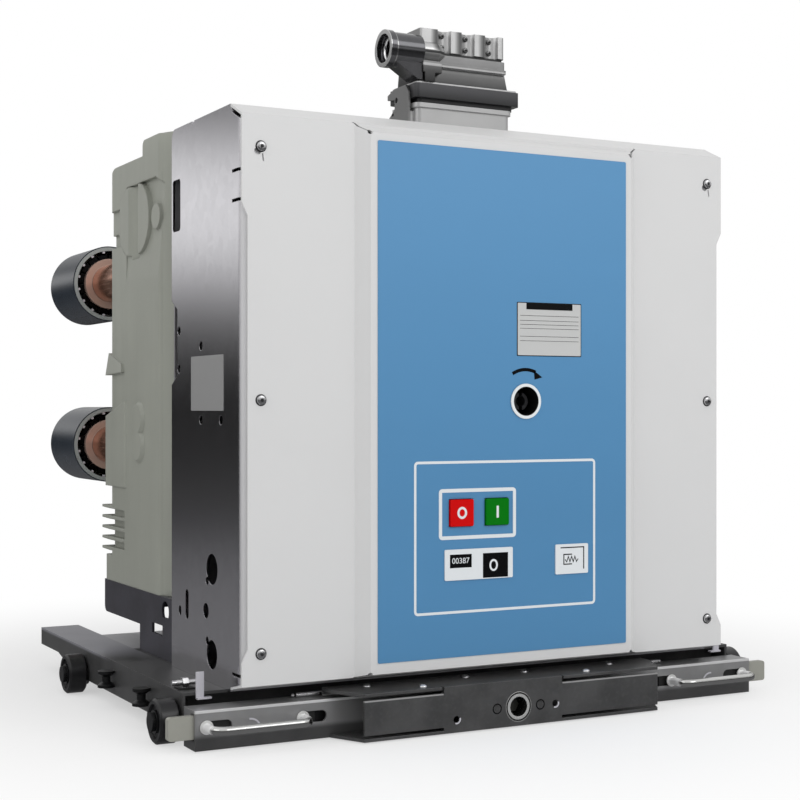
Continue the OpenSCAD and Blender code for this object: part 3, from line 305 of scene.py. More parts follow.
class Finish:
    """The nodes of one procedural material on Object coordinates, or of the world."""

    def __init__(self, name, holder=None):
        self.name = name
        self.material = holder or bpy.data.materials.new(name)
        self.material.use_nodes = True
        self.tree = self.material.node_tree
        self.tree.nodes.clear()
        self.place = self.node("TexCoord", {}, {}, "Object")

    def node(self, kind, settings=None, sockets=None, output=0):
        """A shader node: its kind and settings, then the values or links of its sockets."""
        made = self.tree.nodes.new("ShaderNode" + kind)
        for key, value in (settings or {}).items():
            setattr(made, key, value)
        for key, value in (sockets or {}).items():
            if isinstance(value, Signal):
                self.tree.links.new(value.socket, made.inputs[key])
            elif made.inputs[key].type == "RGBA":
                made.inputs[key].default_value = (*value, 1.0)
            else:
                made.inputs[key].default_value = value
        return Signal(self, made.outputs[output]) if made.outputs else made

    def axis(self, name):
        return self.node("SeparateXYZ", {}, {0: self.place}, name)

    def stretched(self, scale):
        """Object coordinates stretched by a scale on each axis."""
        return self.node("Mapping", {}, {"Vector": self.place, "Scale": scale})

    def noise(self, scale, detail=2.0, vector=None):
        return self.node("TexNoise", {}, {"Vector": vector or self.place, "Scale": scale,
                                                    "Detail": detail}, "Fac")

    def mix(self, factor, first, second, blend="MIX"):
        """A colour between two colours."""
        settings = {"data_type": "RGBA", "blend_type": blend}
        return self.node("Mix", settings, {0: factor, 6: first, 7: second}, 2)

    def clouded(self, factor, colour, dark, light):
        """A colour that drifts between two shades of itself."""
        return self.mix(factor, shade(colour, dark), shade(colour, light))

    def tones(self, factor, stops):
        """A grey that follows a list of places and tones."""
        made = self.node("ValToRGB", {}, {0: factor})
        elements = made.socket.node.color_ramp.elements
        while len(elements) < len(stops):
            elements.new(0.5)
        for element, (place, tone) in zip(elements, stops):
            element.position, element.color = place, (*grey(tone), 1.0)
        return made

    def reach(self, x, z):
        """Distance from a line along Y through X and Z."""
        across, height = self.axis("X") - x, self.axis("Z") - z
        return (across * across + height * height) ** 0.5

    def light_path(self, ray):
        return self.node("LightPath", {}, {}, ray)

    def glow(self, colour):
        return self.node("Emission", {}, {"Color": colour, "Strength": 1.0})

    def join(self, factor, first, second):
        """One shader or the other, by a mask."""
        return self.node("MixShader", {}, {0: factor, 1: first, 2: second})

    def rounded(self, radius):
        """The surface's direction with its edges rounded."""
        return self.node("Bevel", {"samples": 4}, {"Radius": radius})

    def bump(self, height, depth, base=None):
        sockets = {"Height": height, "Distance": depth, "Strength": 1.0}
        if base:
            sockets["Normal"] = base
        return self.node("Bump", {}, sockets)

    def relief(self, height, depth, edge):
        """Fine bumps over rounded edges; depth and edge are in millimetres."""
        return self.bump(height, depth * MM, self.rounded(edge * MM))

    def grain(self, scale, detail, depth, edge):
        """The relief of a noise."""
        return self.relief(self.noise(scale, detail), depth, edge)

    def surface(self, colour, roughness, normal, metallic=0.0, specular=0.5):
        """Joins all in the surface shader, and keeps the material under its name."""
        shader = self.node("BsdfPrincipled", {}, {
            "Base Color": colour, "Roughness": roughness, "Metallic": metallic,
            "Specular IOR Level": specular, "Normal": normal})
        self.node("OutputMaterial", {}, {"Surface": shader})
        FINISHES[self.name] = self.material


# ---- Finishes ----

def shade(colour, factor):
    """A colour made lighter or darker."""
    return tuple(min(1.0, c * factor) for c in colour)


def grey(tone):
    return (tone, tone, tone)


def finish(name, colour, roughness, cloud, spread, grain, swing=0.06, metallic=0.0, specular=0.5,
           contrast=None, marks=None):
    """The usual build of a finish: a clouded colour, marks over it, fine bumps and rounded edges.

    cloud is the cloud's scale and detail, spread the two shades that it drifts between, and
    contrast the part of it that is used. grain is as for Finish.grain. swing is the cloud's share
    in the roughness. marks(f, cloud, colour) gives each mask with the colour that it shows.
    """
    f = Finish(name)
    mottle = f.noise(*cloud)
    base = f.clouded(mottle.ramp(*contrast) if contrast else mottle, colour, *spread)
    for mask, *tone in marks(f, mottle, colour) if marks else ():
        base = f.mix(mask, base, *tone)
    f.surface(base, roughness + swing * mottle, f.grain(*grain), metallic, specular)


def paint(name, colour, roughness, peel=0.03, edge=0.5):
    """Powder coat: faint clouds in its colour, and the fine waves of orange peel."""
    f = Finish(name)
    base = f.clouded(f.noise(6.0, 3.0), colour, 0.975, 1.025)
    rough = roughness - 0.03 + 0.06 * f.noise(40.0, 2.0)
    f.surface(base, rough, f.grain(700.0, 2.0, peel, edge))


def moulded(name, colour, roughness, specular):
    """Moulded plastic: even colour, a trace of flow marks."""
    finish(name, colour, roughness, (35.0, 3.0), (0.94, 1.06), (600.0, 1.0, 0.008, 0.4), 0.05,
           specular=specular)


def port_marks(f, cloud, colour):
    """Crank port: pale in front of the panel, and black inside its mouth as painted shade."""
    inside = f.axis("Y").ramp(PANEL_Y - 0.6 * MM, PANEL_Y - 0.1 * MM)
    rim = f.reach(PORT_X, PORT_Z).ramp(14.6 * MM, 14.9 * MM)
    # the black inside the mouth is painted shade
    return [(1 - rim * (1 - inside), grey(0.008))]


def printed_panel(name, colour):
    """Printed sheet of the operating panel: slightly deeper towards its foot, satin."""
    f = Finish(name)
    height = f.axis("Z").ramp(PANEL[0].z + 0.1, PANEL[1].z - 0.05)
    streaks = f.noise(3.0, 3.0, f.stretched((0.4, 1.0, 4.0)))
    base = f.clouded(height * 0.55 + streaks * 0.45, colour, 0.93, 1.12)
    f.surface(base, 0.36 + 0.06 * f.noise(30.0), f.grain(900.0, 1.0, 0.012, 0.3))


def rolled_zinc(name, colour, roughness, metallic):
    """Galvanised sheet: faint crystals, fine upright rolling lines, and a painted highlight along its
    front fold.
    """
    f = Finish(name)
    cells = f.node("TexVoronoi", {"feature": "F1"}, {"Vector": f.place, "Scale": 90.0}, "Color")
    crystal = f.node("SeparateColor", {}, {0: cells}, "Red")
    # painted highlight: a paler, duller band along the rounded front fold
    fold_highlight = 1 - f.axis("Y").ramp(COVER_Y + 4.5 * MM, COVER_Y + 9 * MM)
    base = f.clouded(f.noise(5.0, 2.0), colour, 0.92, 1.06)
    base = f.mix(0.1 * crystal, base, shade(colour, 0.7))
    base = f.mix(fold_highlight, base, (0.62, 0.62, 0.63))
    lines = f.noise(1.0, 2.0, f.stretched((900.0, 900.0, 25.0)))
    normal = f.relief(lines, 0.0015, 0.7)
    f.surface(base, roughness + 0.03 * crystal + 0.25 * fold_highlight, normal,
              metallic - 0.75 * metallic * fold_highlight, 0.35)


def cast_resin(name, colour):
    """Cast epoxy resin of the poles: cloudy, dull, with a very fine grain, and painted light that makes
    it paler at its top.
    """
    f = Finish(name)
    clouds = f.noise(9.0, 4.0)
    streaks = f.noise(2.0, 4.0, f.stretched((30.0, 30.0, 2.0)))
    specks = f.noise(420.0, 2.0).ramp(0.62, 0.75)
    base = f.clouded(0.6 * clouds + 0.4 * streaks, colour, 0.82, 1.18)
    # painted light: paler towards the poles' tops
    base = f.mix(f.axis("Z").ramp(0.58, 0.69), base, shade(colour, 1.6))
    base = f.mix(0.1 * specks, base, shade(colour, 0.55))
    waves = f.grain(30.0, 2.0, 0.5, 2.5)
    f.surface(base, 0.4 + 0.12 * clouds, f.bump(f.noise(500.0, 3.0), 0.04 * MM, waves), 0.0, 0.4)


def worn(f, cloud, colour):
    """Steel: lighter worn patches."""
    return [(0.2 * f.noise(260.0, 3.0).ramp(0.45, 0.8), shade(colour, 1.7))]


def rail_marks(f, cloud, colour):
    """Rails: a painted sheen that makes the upper faces paler towards the rear, and black spools
    outside the webs.
    """
    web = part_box("roller_front_right")[0].x - 2 * MM
    rear = f.axis("Y").ramp(COVER_Y + 255 * MM, COVER_Y + 335 * MM)
    upper = f.axis("Z").ramp(DECK_Z - 4 * MM, DECK_Z - 1 * MM)
    spool = f.axis("X").math("ABSOLUTE").ramp(web + 0.3 * MM, web + 0.8 * MM)
    # the paler upper faces towards the rear are painted sheen
    return [(rear * upper, (0.3, 0.3, 0.33)), (spool, (0.012, 0.012, 0.013))]


def deck_marks(f, cloud, colour):
    """Chassis plate: bare zinc behind the shelf; the dark base in front of it is painted shade under
    the shelf.
    """
    rear = f.axis("Y").ramp(COVER_Y + 322 * MM, COVER_Y + 330 * MM)
    return [(rear, f.mix(cloud, (0.34, 0.34, 0.36), (0.5, 0.5, 0.52)))]


def box_marks(f, cloud, colour):
    """Drive box: worn patches, and a painted highlight along a band above its two free strips."""
    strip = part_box("drive_box")[0].z + 37.5 * MM
    # painted highlight along the upper edge of each free strip
    strip_edge_highlight = f.axis("Z").band(strip, strip + 1.6 * MM, 0.3 * MM)
    free = 1 - f.axis("X").band(-86 * MM, 52 * MM, 0.5 * MM)
    return worn(f, cloud, colour) + [(free * strip_edge_highlight, grey(0.42))]


def bar_marks(f, cloud, colour):
    """Crossbar: painted light and shade, darker at its foot and paler upwards, and a painted highlight
    along its upper front edge.
    """
    low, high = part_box("crossbar")
    height = f.axis("Z")
    front = 1 - f.axis("Y").ramp(low.y + 2 * MM, low.y + 3 * MM)
    # painted light and shade by height; the second mask is a painted highlight on the upper front edge
    height_light_and_shade = f.mix(height.ramp(low.z + 10 * MM, low.z + 16 * MM), grey(0.55), grey(1.7))
    return [(1.0, height_light_and_shade, "MULTIPLY"),
            (height.ramp(high.z - 2.6 * MM, high.z - 2.2 * MM) * front, grey(0.8))]


def steel(name, colour, roughness, metallic=0.6, marks=worn, spread=(0.82, 1.2), edge=0.6,
          specular=0.4):
    """Phosphated or blackened steel: mottled, with lighter worn patches or other marks."""
    finish(name, colour, roughness, (24.0, 5.0), spread, (260.0, 3.0, 0.02, edge), 0.14,
           metallic, specular, (0.3, 0.7), marks)


def tongue_marks(f, cloud, colour):
    """Locking tongues: painted shade inside the crossbar."""
    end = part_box("crossbar")[1].x - 4 * MM
    # the dark part inside the crossbar is painted shade
    return [(1 - f.axis("X").math("ABSOLUTE").ramp(end, end + 1 * MM), grey(0.02))]


def socket_marks(f, cloud, colour):
    """Sleeve of the racking socket: a bright ring round its mouth, and a painted highlight on its outer
    lip.
    """
    reach = f.reach(0.0, middle("socket_sleeve").z)
    bright = (0.7, 0.7, 0.69)
    # the second mask is a painted highlight on the outer lip
    return [(reach.band(9.7 * MM, 12.6 * MM, 0.35 * MM), bright),
            (0.7 * reach.ramp(14.2 * MM, 14.5 * MM), bright)]


def gland_marks(f, cloud, colour):
    """Cable gland: a painted highlight on the lip round its mouth, and a polished neck."""
    along = f.axis("X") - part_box("cable_gland")[0].x
    # the first mask is a painted highlight on the mouth's lip
    return [(1 - along.ramp(0.6 * MM, 1.0 * MM), grey(0.5)),
            (along.band(7.6 * MM, 8.8 * MM, 0.4 * MM), grey(0.3))]


def plated(name, colour, roughness, metallic=1.0, marks=None, spread=(0.95, 1.05), edge=0.3):
    """Plated metal: nearly even, with a faint cloud in its gloss."""
    finish(name, colour, roughness, (60.0, 3.0), spread, (300.0, 2.0, 0.006, edge), 0.06,
           metallic, marks=marks)


def grip_chrome(name, node):
    """Chrome of a handle: mirror-like along its bar, and satin on its two stems, with a painted
    highlight that makes them pale.
    """
    f = Finish(name)
    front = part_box(node)[0].y
    stem = f.axis("Y").ramp(front + 8 * MM, front + 13 * MM)
    cloud = f.noise(60.0, 3.0)
    # the pale stems are a painted highlight
    base = f.mix(stem, f.mix(cloud, (0.5, 0.5, 0.49), (0.56, 0.56, 0.55)), grey(0.9))
    f.surface(base, 0.08 + 0.25 * stem + 0.05 * cloud, f.grain(300.0, 2.0, 0.006, 0.3),
              1 - 0.7 * stem)


def turned_metal(name, colour, roughness):
    """Turned or drawn metal: fine rings across its length."""
    f = Finish(name)
    rings = f.noise(1.0, 3.0, f.stretched((30.0, 2600.0, 30.0)))
    stain = f.noise(30.0, 3.0)
    base = f.clouded(rings, colour, 0.88, 1.08)
    base = f.mix(0.35 * stain.ramp(0.45, 0.75), base, shade(colour, 0.75))
    f.surface(base, roughness + 0.1 * stain, f.relief(rings, 0.008, 0.4), 1.0)


def arm_copper(name, colour):
    """Bare copper arm: drawn lines along it, a dark ring of painted shade in the groove at its root,
    and a paler flange.
    """
    f = Finish(name)
    flange_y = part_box("arms_left")[1].y - 8 * MM
    along = f.axis("Y")
    lines = f.noise(1.0, 3.0, f.stretched((700.0, 8.0, 700.0)))
    stain = f.noise(18.0, 4.0)
    flange = along.ramp(flange_y - 0.7 * MM, flange_y - 0.3 * MM)
    base = f.clouded(stain, colour, 0.72, 1.2)
    # painted shade in the groove at the arm's root
    base = f.mix(along.ramp(flange_y - 3.2 * MM, flange_y - 2.6 * MM), base, shade(colour, 0.12))
    base = f.mix(flange, base, (0.72, 0.5, 0.42))
    normal = f.relief(lines, 0.01, 0.6)
    f.surface(base, 0.16 + 0.1 * stain, normal, 0.92 - 0.4 * flange)


# Painted light and shade of the plug's hood, as tones from its foot to its top, and from one rib to the
# next
HOOD_LIGHT_AND_SHADE = ((0.0, 0.05), (0.2, 0.13), (0.285, 0.22), (0.3, 0.8), (0.335, 0.8), (0.35, 0.42),
              (0.53, 0.5), (0.545, 0.05), (0.585, 0.1), (0.6, 1.0))
RIB_LIGHT_AND_SHADE = ((0.0, 0.5), (0.06, 1.0), (0.42, 1.0), (0.56, 0.4), (0.66, 0.16), (0.72, 0.3),
             (0.9, 0.75), (1.0, 0.5))


def cast_hood(name, colour):
    """Die-cast hood of the plug: fine pores, painted light and shade by height, and painted shading
    across each upper rib, darker between them.
    """
    f = Finish(name)
    low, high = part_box("plug_hood")
    height = (f.axis("Z") - low.z) / (high.z - low.z)
    along = ((f.axis("X") - low.x) / RIB_PITCH).math("FRACT")
    pores = f.noise(380.0, 4.0)
    base = f.clouded(f.noise(22.0, 3.0), colour, 0.85, 1.12)
    # painted light and shade by height, then across each rib
    base = f.mix(1.0, base, f.tones(height, HOOD_LIGHT_AND_SHADE), "MULTIPLY")
    base = f.mix(height.ramp(0.59, 0.6), base, f.mix(1.0, base, f.tones(along, RIB_LIGHT_AND_SHADE), "MULTIPLY"))
    f.surface(base, 0.24 + 0.14 * pores, f.relief(pores, 0.03, 0.9), 0.7)


def frame_marks(f, cloud, colour):
    """Locking frame: painted shade that deepens towards its foot, and a painted highlight along its
    upper edge.
    """
    low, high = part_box("plug_frame")
    z = f.axis("Z")
    height = ((z - low.z) / (high.z - low.z)).ramp(0.1, 0.9)
    # painted light and shade by height, and a painted highlight on the upper edge
    return [(1.0, f.clouded(height, colour, 0.5, 2.4)), (0.3 * cloud, shade(colour, 0.7)),
            (z.ramp(high.z - 1.7 * MM, high.z - 1.3 * MM), grey(0.5))]


def pedestal_marks(f, cloud, colour):
    """Pedestal: a duller lever plate, and a painted highlight on its upper rim over the dark joint."""
    rim_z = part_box("plug_pedestal")[1].z - 6.2 * MM
    plate_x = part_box("plug_frame")[0].x - 1 * MM
    body = f.axis("X").ramp(plate_x, plate_x + 1.5 * MM)
    # the second mask is a painted highlight on the upper rim
    return [(1 - body, shade(colour, 0.45)),
            (f.axis("Z").ramp(rim_z, rim_z + 0.4 * MM) * body, shade(colour, 1.5))]


def cast(name, colour, roughness, metallic, marks, spread, edge):
    """Die-cast or blackened metal of the plug, with fine pores."""
    finish(name, colour, roughness, (22.0, 3.0), spread, (380.0, 4.0, 0.02, edge), 0.1, metallic,
           marks=marks)


def tulip(name, shield, silver):
    """A tulip contact: dark glossy shield with a bare front rim, black painted shade round the arm
    inside its mouth, and silvered fingers towards the mouth."""
    f = Finish(name)
    radius, mouths = contact_mouths(name)
    reach = f.reach(mouths[0][0], mouths[0][2]).math("MINIMUM", f.reach(mouths[1][0], mouths[1][2]))
    depth = f.axis("Y") - mouths[0][1]
    cloud = f.noise(25.0, 3.0)
    outer = reach.ramp(radius - 7.4 * MM, radius - 6.8 * MM)
    front = 1 - depth.ramp(0.8 * MM, 1.4 * MM)
    rim = outer * front * (1 - reach.ramp(radius - 1.6 * MM, radius - 1.1 * MM))
    # painted shade: black round the arm inside the mouth
    mouth_shade = 1 - depth.ramp(26 * MM, 34 * MM)
    base = f.mix(mouth_shade, f.clouded(cloud, silver, 0.7, 1.0), (0.012, 0.012, 0.013))
    base = f.mix(outer, base, f.clouded(cloud, shield, 0.75, 1.25))
    base = f.mix(rim, base, (0.36, 0.39, 0.385))
    f.surface(base, 0.34 - 0.1 * outer + 0.05 * cloud, f.grain(400.0, 2.0, 0.01, 0.8), 1 - outer, 0.35)


# ---- Settings ----

def colour_setting(name, description, value):
    """A colour that the user may change, in linear light."""
    return bpy.props.FloatVectorProperty(name=name, description=description, default=value, size=3,
                                         min=0.0, max=1.0, subtype="COLOR")


def length_setting(name, description, value):
    """A length that the user may change, in metres."""
    return bpy.props.FloatProperty(name=name, description=description, default=value, min=0.0,
                                   precision=5, subtype="DISTANCE", unit="LENGTH")


def power_setting(name, description, value):
    """A lamp's power that the user may change, in watts."""
    return bpy.props.FloatProperty(name=name, description=description, default=value, min=0.0,
                                   subtype="POWER", unit="POWER")


class FinishSettings(bpy.types.PropertyGroup):
    """Colours of the breaker's finishes"""
    cover: colour_setting("Cover", "Powder coat of the front cover and top plate", (0.68, 0.68, 0.68))
    panel: colour_setting("Panel", "Printed sheet of the operating panel", (0.075, 0.252, 0.475))
    trim: colour_setting("Trim", "Bezels, lines and plates on the panel", (0.76, 0.79, 0.81))
    zinc: colour_setting("Zinc", "Galvanised side, rear and base sheets", (0.66, 0.65, 0.68))
    resin: colour_setting("Resin", "Cast resin of the poles", (0.31, 0.32, 0.28))
    copper: colour_setting("Copper", "Contact arms", (0.6, 0.3, 0.2))
    shield: colour_setting("Shield", "Shields of the tulip contacts", (0.028, 0.036, 0.048))
    silver: colour_setting("Silver", "Silvered contact fingers", (0.55, 0.54, 0.52))
    truck: colour_setting("Truck", "Steel of the truck", (0.09, 0.09, 0.091))
    shelf: colour_setting("Shelf", "Shelf under the poles", (0.075, 0.073, 0.088))
    steel: colour_setting("Steel", "Screws, rods and sleeve", (0.6, 0.6, 0.61))
    black: colour_setting("Black", "Windows, marks and rollers", (0.012, 0.012, 0.013))
    red: colour_setting("Red", "Push button that opens", (0.62, 0.001, 0.001))
    green: colour_setting("Green", "Push button that closes", (0.0, 0.175, 0.004))
    cast: colour_setting("Cast metal", "Plug pedestal and hood", (0.55, 0.55, 0.55))


class TrimSettings(bpy.types.PropertyGroup):
    """Sizes of the small pieces on the cover and the truck"""
    screw_r: length_setting("Screw head", "Radius of the cover screws' heads", 4.6 * MM)
    line_w: length_setting("Outer line", "Width of the outer white line", 2.6 * MM)
    frame_w: length_setting("Inner line", "Width of the white frame round the push buttons", 3.6 * MM)
    ring_r: length_setting("Off mark", "Outer radius of the round marks", 5.4 * MM)
    digit_h: length_setting("Counter digits", "Height of the counter's digits", 5.6 * MM)
    rivet_r: length_setting("Rivets", "Radius of the rivets on the drive box", 4.4 * MM)
    pin_r: length_setting("Pins", "Radius of the pins beside the racking socket", 5.0 * MM)
    bolt_af: length_setting("Bolts", "Width across the flats of the truck's nuts", 13 * MM)


class StageSettings(bpy.types.PropertyGroup):
    """Camera and light"""
    eye: bpy.props.FloatVectorProperty(name="Camera", description="Place of the camera",
                                       default=(-0.82985, -1.70533, 0.31707), size=3,
                                       subtype="XYZ", unit="LENGTH")
    heading: bpy.props.FloatProperty(name="Heading", description="Camera's turn about the vertical",
                                     default=math.radians(-27.89), subtype="ANGLE", unit="ROTATION")
    lens: bpy.props.FloatProperty(name="Lens", description="Focal length in millimetres", default=70.26)
    rise: bpy.props.FloatProperty(name="Rise", description="Vertical shift of the lens", default=0.0101)
    ambient: bpy.props.FloatProperty(name="Ambient", description="Strength of the even light",
                                     default=0.72, min=0.0)
    key: power_setting("Key light", "Power of the main soft light", 30.0)
    fill: power_setting("Fill light", "Power of the second soft light", 11.0)


# Finish of a node, where it isn't the one of its material slot
OWN_FINISH = {
    "side_plate_left": "side_sheet", "side_plate_right": "side_sheet", "crank_port": "port_ring",
    "rail_left": "rail_steel", "rail_right": "rail_steel", "chassis_plate": "deck_zinc",
    "crossbar": "bar_steel", "drive_box": "box_steel", "socket_sleeve": "socket_steel",
    "racking_screw": "screw_steel", "handle_left": "grip_left", "handle_right": "grip_right",
    "tongue_left": "tongue_zinc", "tongue_right": "tongue_zinc", "plug_hood": "hood_cast",
}


def make_finishes(c):
    """Every finish, under its own name."""
    paint("cover_paint", c.cover, 0.42)
    printed_panel("panel_blue", c.panel)
    paint("trim_white", c.trim, 0.38, 0.01, 0.25)
    paint("plate_grey", (0.55, 0.555, 0.55), 0.35, 0.01, 0.2)
    paint("label_foil", grey(0.27), 0.4, 0.01, 0.2)
    moulded("window_black", shade(c.black, 0.4), 0.2, 0.12)
    moulded("roller_black", c.black, 0.26, 0.35)
    moulded("button_red", c.red, 0.3, 0.1)
    moulded("button_green", c.green, 0.3, 0.1)
    finish("port_ring", (0.8, 0.83, 0.84), 0.35, (30.0, 2.0), (1, 1), (600.0, 1.0, 0.0, 0.5), 0.05,
           specular=0.3, marks=port_marks)
    rolled_zinc("zinc_sheet", shade(c.zinc, 0.7), 0.34, 0.8)
    rolled_zinc("side_sheet", c.zinc, 0.15, 1.0)
    cast_resin("pole_resin", c.resin)
    arm_copper("copper", c.copper)
    steel("shelf_paint", c.shelf, 0.31, 0.5)
    steel("truck_steel", c.truck, 0.29)
    steel("dark_steel", (0.02, 0.02, 0.022), 0.45, 0.2)
    steel("screw_steel", (0.06, 0.06, 0.055), 0.25)
    steel("rail_steel", c.truck, 0.3, 0.4, rail_marks, (0.8, 1.15))
    # deck_zinc: the dark steel in front of the bare zinc is painted shade under the shelf
    steel("deck_zinc", c.truck, 0.32, 0.3, deck_marks, (0.4, 0.7))
    steel("box_steel", shade(c.truck, 1.05), 0.26, 0.45, box_marks, edge=0.8, specular=0.5)
    finish("bar_steel", shade(c.truck, 2.0), 0.26, (14.0, 4.0), (0.85, 1.15), (260.0, 3.0, 0.015, 0.9),
           0.1, 0.45, 0.4, (0.3, 0.7), bar_marks)
    turned_metal("bright_steel", c.steel, 0.22)
    plated("chrome_grip", (0.78, 0.78, 0.79), 0.1)
    plated("grip_collar", (0.85, 0.85, 0.84), 0.25, 0.5)
    plated("pin_steel", grey(0.16), 0.12, 0.8)
    plated("angle_zinc", (0.62, 0.61, 0.66), 0.3, 0.2)
    plated("tongue_zinc", (0.36, 0.36, 0.32), 0.36, 0.2, tongue_marks, (0.94, 1.06), 0.8)
    plated("gland_metal", (0.1, 0.1, 0.105), 0.14, 0.9, gland_marks, (0.9, 1.15), 0.6)
    finish("socket_steel", grey(0.03), 0.24, (40.0, 2.0), (1, 1), (200.0, 2.0, 0.01, 1.2), 0.05, 0.6,
           marks=socket_marks)
    cast("plug_cast", shade(c.cast, 0.8), 0.28, 0.6, pedestal_marks, (0.9, 1.1), 0.9)
    cast("plug_dark", (0.03, 0.03, 0.032), 0.3, 0.4, frame_marks, (1, 1), 1.0)
    cast_hood("hood_cast", c.cast)
    for side in SIDES:
        grip_chrome("grip_" + side, "handle_" + side)
    for pole in POLES:
        tulip("tulips_" + pole, c.shield, c.silver)


class BREAKER_OT_finishes(bpy.types.Operator):
    """Give every node of the frame its finish"""
    bl_idname = "breaker.finishes"
    bl_label = "Finishes"

    def execute(self, context):
        make_finishes(context.scene.breaker_finish)
        slots = {part["node"]: part["material_slot"] for part in frame["record"]["subparts"]}
        for name, node in NODES.items():
            finish_name = OWN_FINISH.get(name, name if name in FINISHES else slots[name])
            node.data.materials.clear()
            node.data.materials.append(FINISHES[finish_name])
        return {"FINISHED"}


# ---- Front panel ----

def skin(y):
    """From the back to the front of a mark that is printed on a face at y."""
    return (y - SKIN, y + SKIN)


def pan_head(shell, centre, radius):
    """A pan-head screw that looks to the front: a low dome with a flat dark hexagon as painted shade in
    its socket.
    """
    dome = pairs(0, -0.1, 1, -0.1, 1, 0.12, 0.93, 0.36, 0.72, 0.5, 0.46, 0.54, 0, 0.54)
    shell.turned(dome * radius, centre, FRONT, 28)
    right, up, along = frame_of(FRONT)
    socket = row(*centre) + along * 0.55 * radius
    # the dark hexagon is painted shade in the screw's socket
    shell.sweep(circle(0.42 * radius, 6), [socket - along * 0.05 * radius, socket], right, up, mark=1)


class BREAKER_OT_cover_screws(bpy.types.Operator):
    """Screws along both sides of the cover, each with a dark ring painted as its shadow"""
    bl_idname = "breaker.cover_screws"
    bl_label = "Cover screws"

    def execute(self, context):
        r = context.scene.breaker_trim.screw_r
        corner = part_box("front_cover")[1]
        side = corner.x - 19.2 * MM
        low, high = DECK_Z + 38 * MM, corner.z - 43 * MM
        shell = Shell()
        # a flat dark ring round each head: painted shadow
        shadow_ring = pairs(0, -0.1, 1.22, -0.1, 1.22, 0.02, 1.14, 0.05, 0, 0.05)
        for z in (low, (low + high) / 2, high):
            shell.turned(shadow_ring * r, (side, COVER_Y, z), FRONT, 28, 1)
            pan_head(shell, (side, COVER_Y - 0.1 * r, z), r)
        shell.with_mirror().piece("cover_screws", "bright_steel",
                                  finishes=("bright_steel", "dark_steel"))
        return {"FINISHED"}


def ring(shell, centre, radii, width, y):
    """A flat ring, oval where its two radii differ."""
    shell.ribbon(row(*centre) + circle(1.0, 40) * row(*radii), width, y, closed=True)


class BREAKER_OT_panel_lines(bpy.types.Operator):
    """White frames round the controls, and the arrow over the crank port"""
    bl_idname = "breaker.panel_lines"
    bl_label = "Panel lines"

    def execute(self, context):
        size = context.scene.breaker_trim
        y = skin(PANEL_Y)
        lines = Shell()
        outer = round_rect(211 * MM, 148 * MM, 3 * MM) + row(0, PORT_Z - 134.5 * MM)
        lines.ribbon(outer, size.line_w, y, closed=True)
        inner = round_rect(85.5 * MM, 46.5 * MM, 2 * MM) + row(-34.5 * MM, PORT_Z - 111.7 * MM)
        lines.ribbon(inner, size.frame_w, y, closed=True)
        lines.piece("panel_lines", "trim_white")

        arrow = Shell()
        arrow.ribbon(arc((PORT_X, PORT_Z + 2 * MM), 30 * MM, 121, 66, 14), 3.4 * MM, y)
        tip = row(PORT_X + 19.5 * MM, PORT_Z + 24.5 * MM)
        arrow.plate(pairs(0.6, -0.2, -9.4, 6.6, -8.8, -2.6) * MM + tip, y)
        arrow.piece("crank_arrow", "window_black")
        return {"FINISHED"}


class BREAKER_OT_plates(bpy.types.Operator):
    """The ruled rating plate on the panel and the bare label on the left side plate"""
    bl_idname = "breaker.plates"
    bl_label = "Bare plates"

    def execute(self, context):
        plate = Shell()
        x, z = 50.2 * MM, PORT_Z + 73 * MM
        width, height = 78 * MM, 54.5 * MM
        head = z + height / 2

        def layer(width, height, radius, z, skin, mark=0):
            outline = round_rect(width, height, radius * MM)
            plate.plate(outline, (PANEL_Y - skin * MM, PANEL_Y), (x, z), mark)

        layer(width, height, 1.0, z, 0.3, 1)
        layer(width - 1.6 * MM, height - 1.6 * MM, 0.8, z, 0.45)
        layer(56 * MM, 6.4 * MM, 0.2, head - 4 * MM, 0.6, 1)
        for drop in (13.5, 18.5, 22.5, 26.5, 34.5, 39.0):
            layer(width - 7 * MM, 0.35 * MM, 0.1, head - drop * MM, 0.6, 1)
        plate.piece("rating_plate", "trim_white", finishes=("plate_grey", "window_black"))

        label = Shell()
        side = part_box("side_plate_left")[0].x
        place = row(side + 0.1 * MM, COVER_Y + 90 * MM, PORT_Z + 17.5 * MM)
        outline = round_rect(88 * MM, 54 * MM, 1.5 * MM)
        label.sweep(outline, [place, place - row(0.45 * MM, 0, 0)], FRONT, (0, 0, 1))
        label.piece("side_label", "tongue_zinc", finishes=("label_foil",))
        return {"FINISHED"}


class BREAKER_OT_button_marks(bpy.types.Operator):
    """A round mark on the button that opens and a bar on the one that closes"""
    bl_idname = "breaker.button_marks"
    bl_label = "Button marks"

    def execute(self, context):
        size = context.scene.breaker_trim
        for name in ("button_off", "button_on"):
            centre = middle(name).xz
            y = skin(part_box(name)[0].y)
            mark = Shell()
            if name == "button_off":
                ring(mark, centre, (size.ring_r - 1.1 * MM, size.ring_r - 0.6 * MM), 2.4 * MM, y)
            else:
                mark.plate(round_rect(2.6 * MM, 12 * MM, 0.3 * MM), y, centre)
            mark.piece(name + "_mark", "trim_white", name)
        return {"FINISHED"}


def digits(text, height, centre, y):
    """Upright figures as a flat mesh, centred on a place of the panel."""
    curve = bpy.data.curves.new("figures", "FONT")
    curve.body = text
    curve.size = height / 0.7
    curve.align_x = curve.align_y = "CENTER"
    curve.extrude = SKIN
    holder = put_in_scene("figures", curve)
    bpy.context.view_layer.update()
    mesh = bpy.data.meshes.new_from_object(holder.evaluated_get(bpy.context.evaluated_depsgraph_get()))
    bpy.data.objects.remove(holder)
    mesh.transform(Matrix.Translation((centre[0], y, centre[1])) @ Matrix.Rotation(math.pi / 2, 4, "X"))
    return mesh


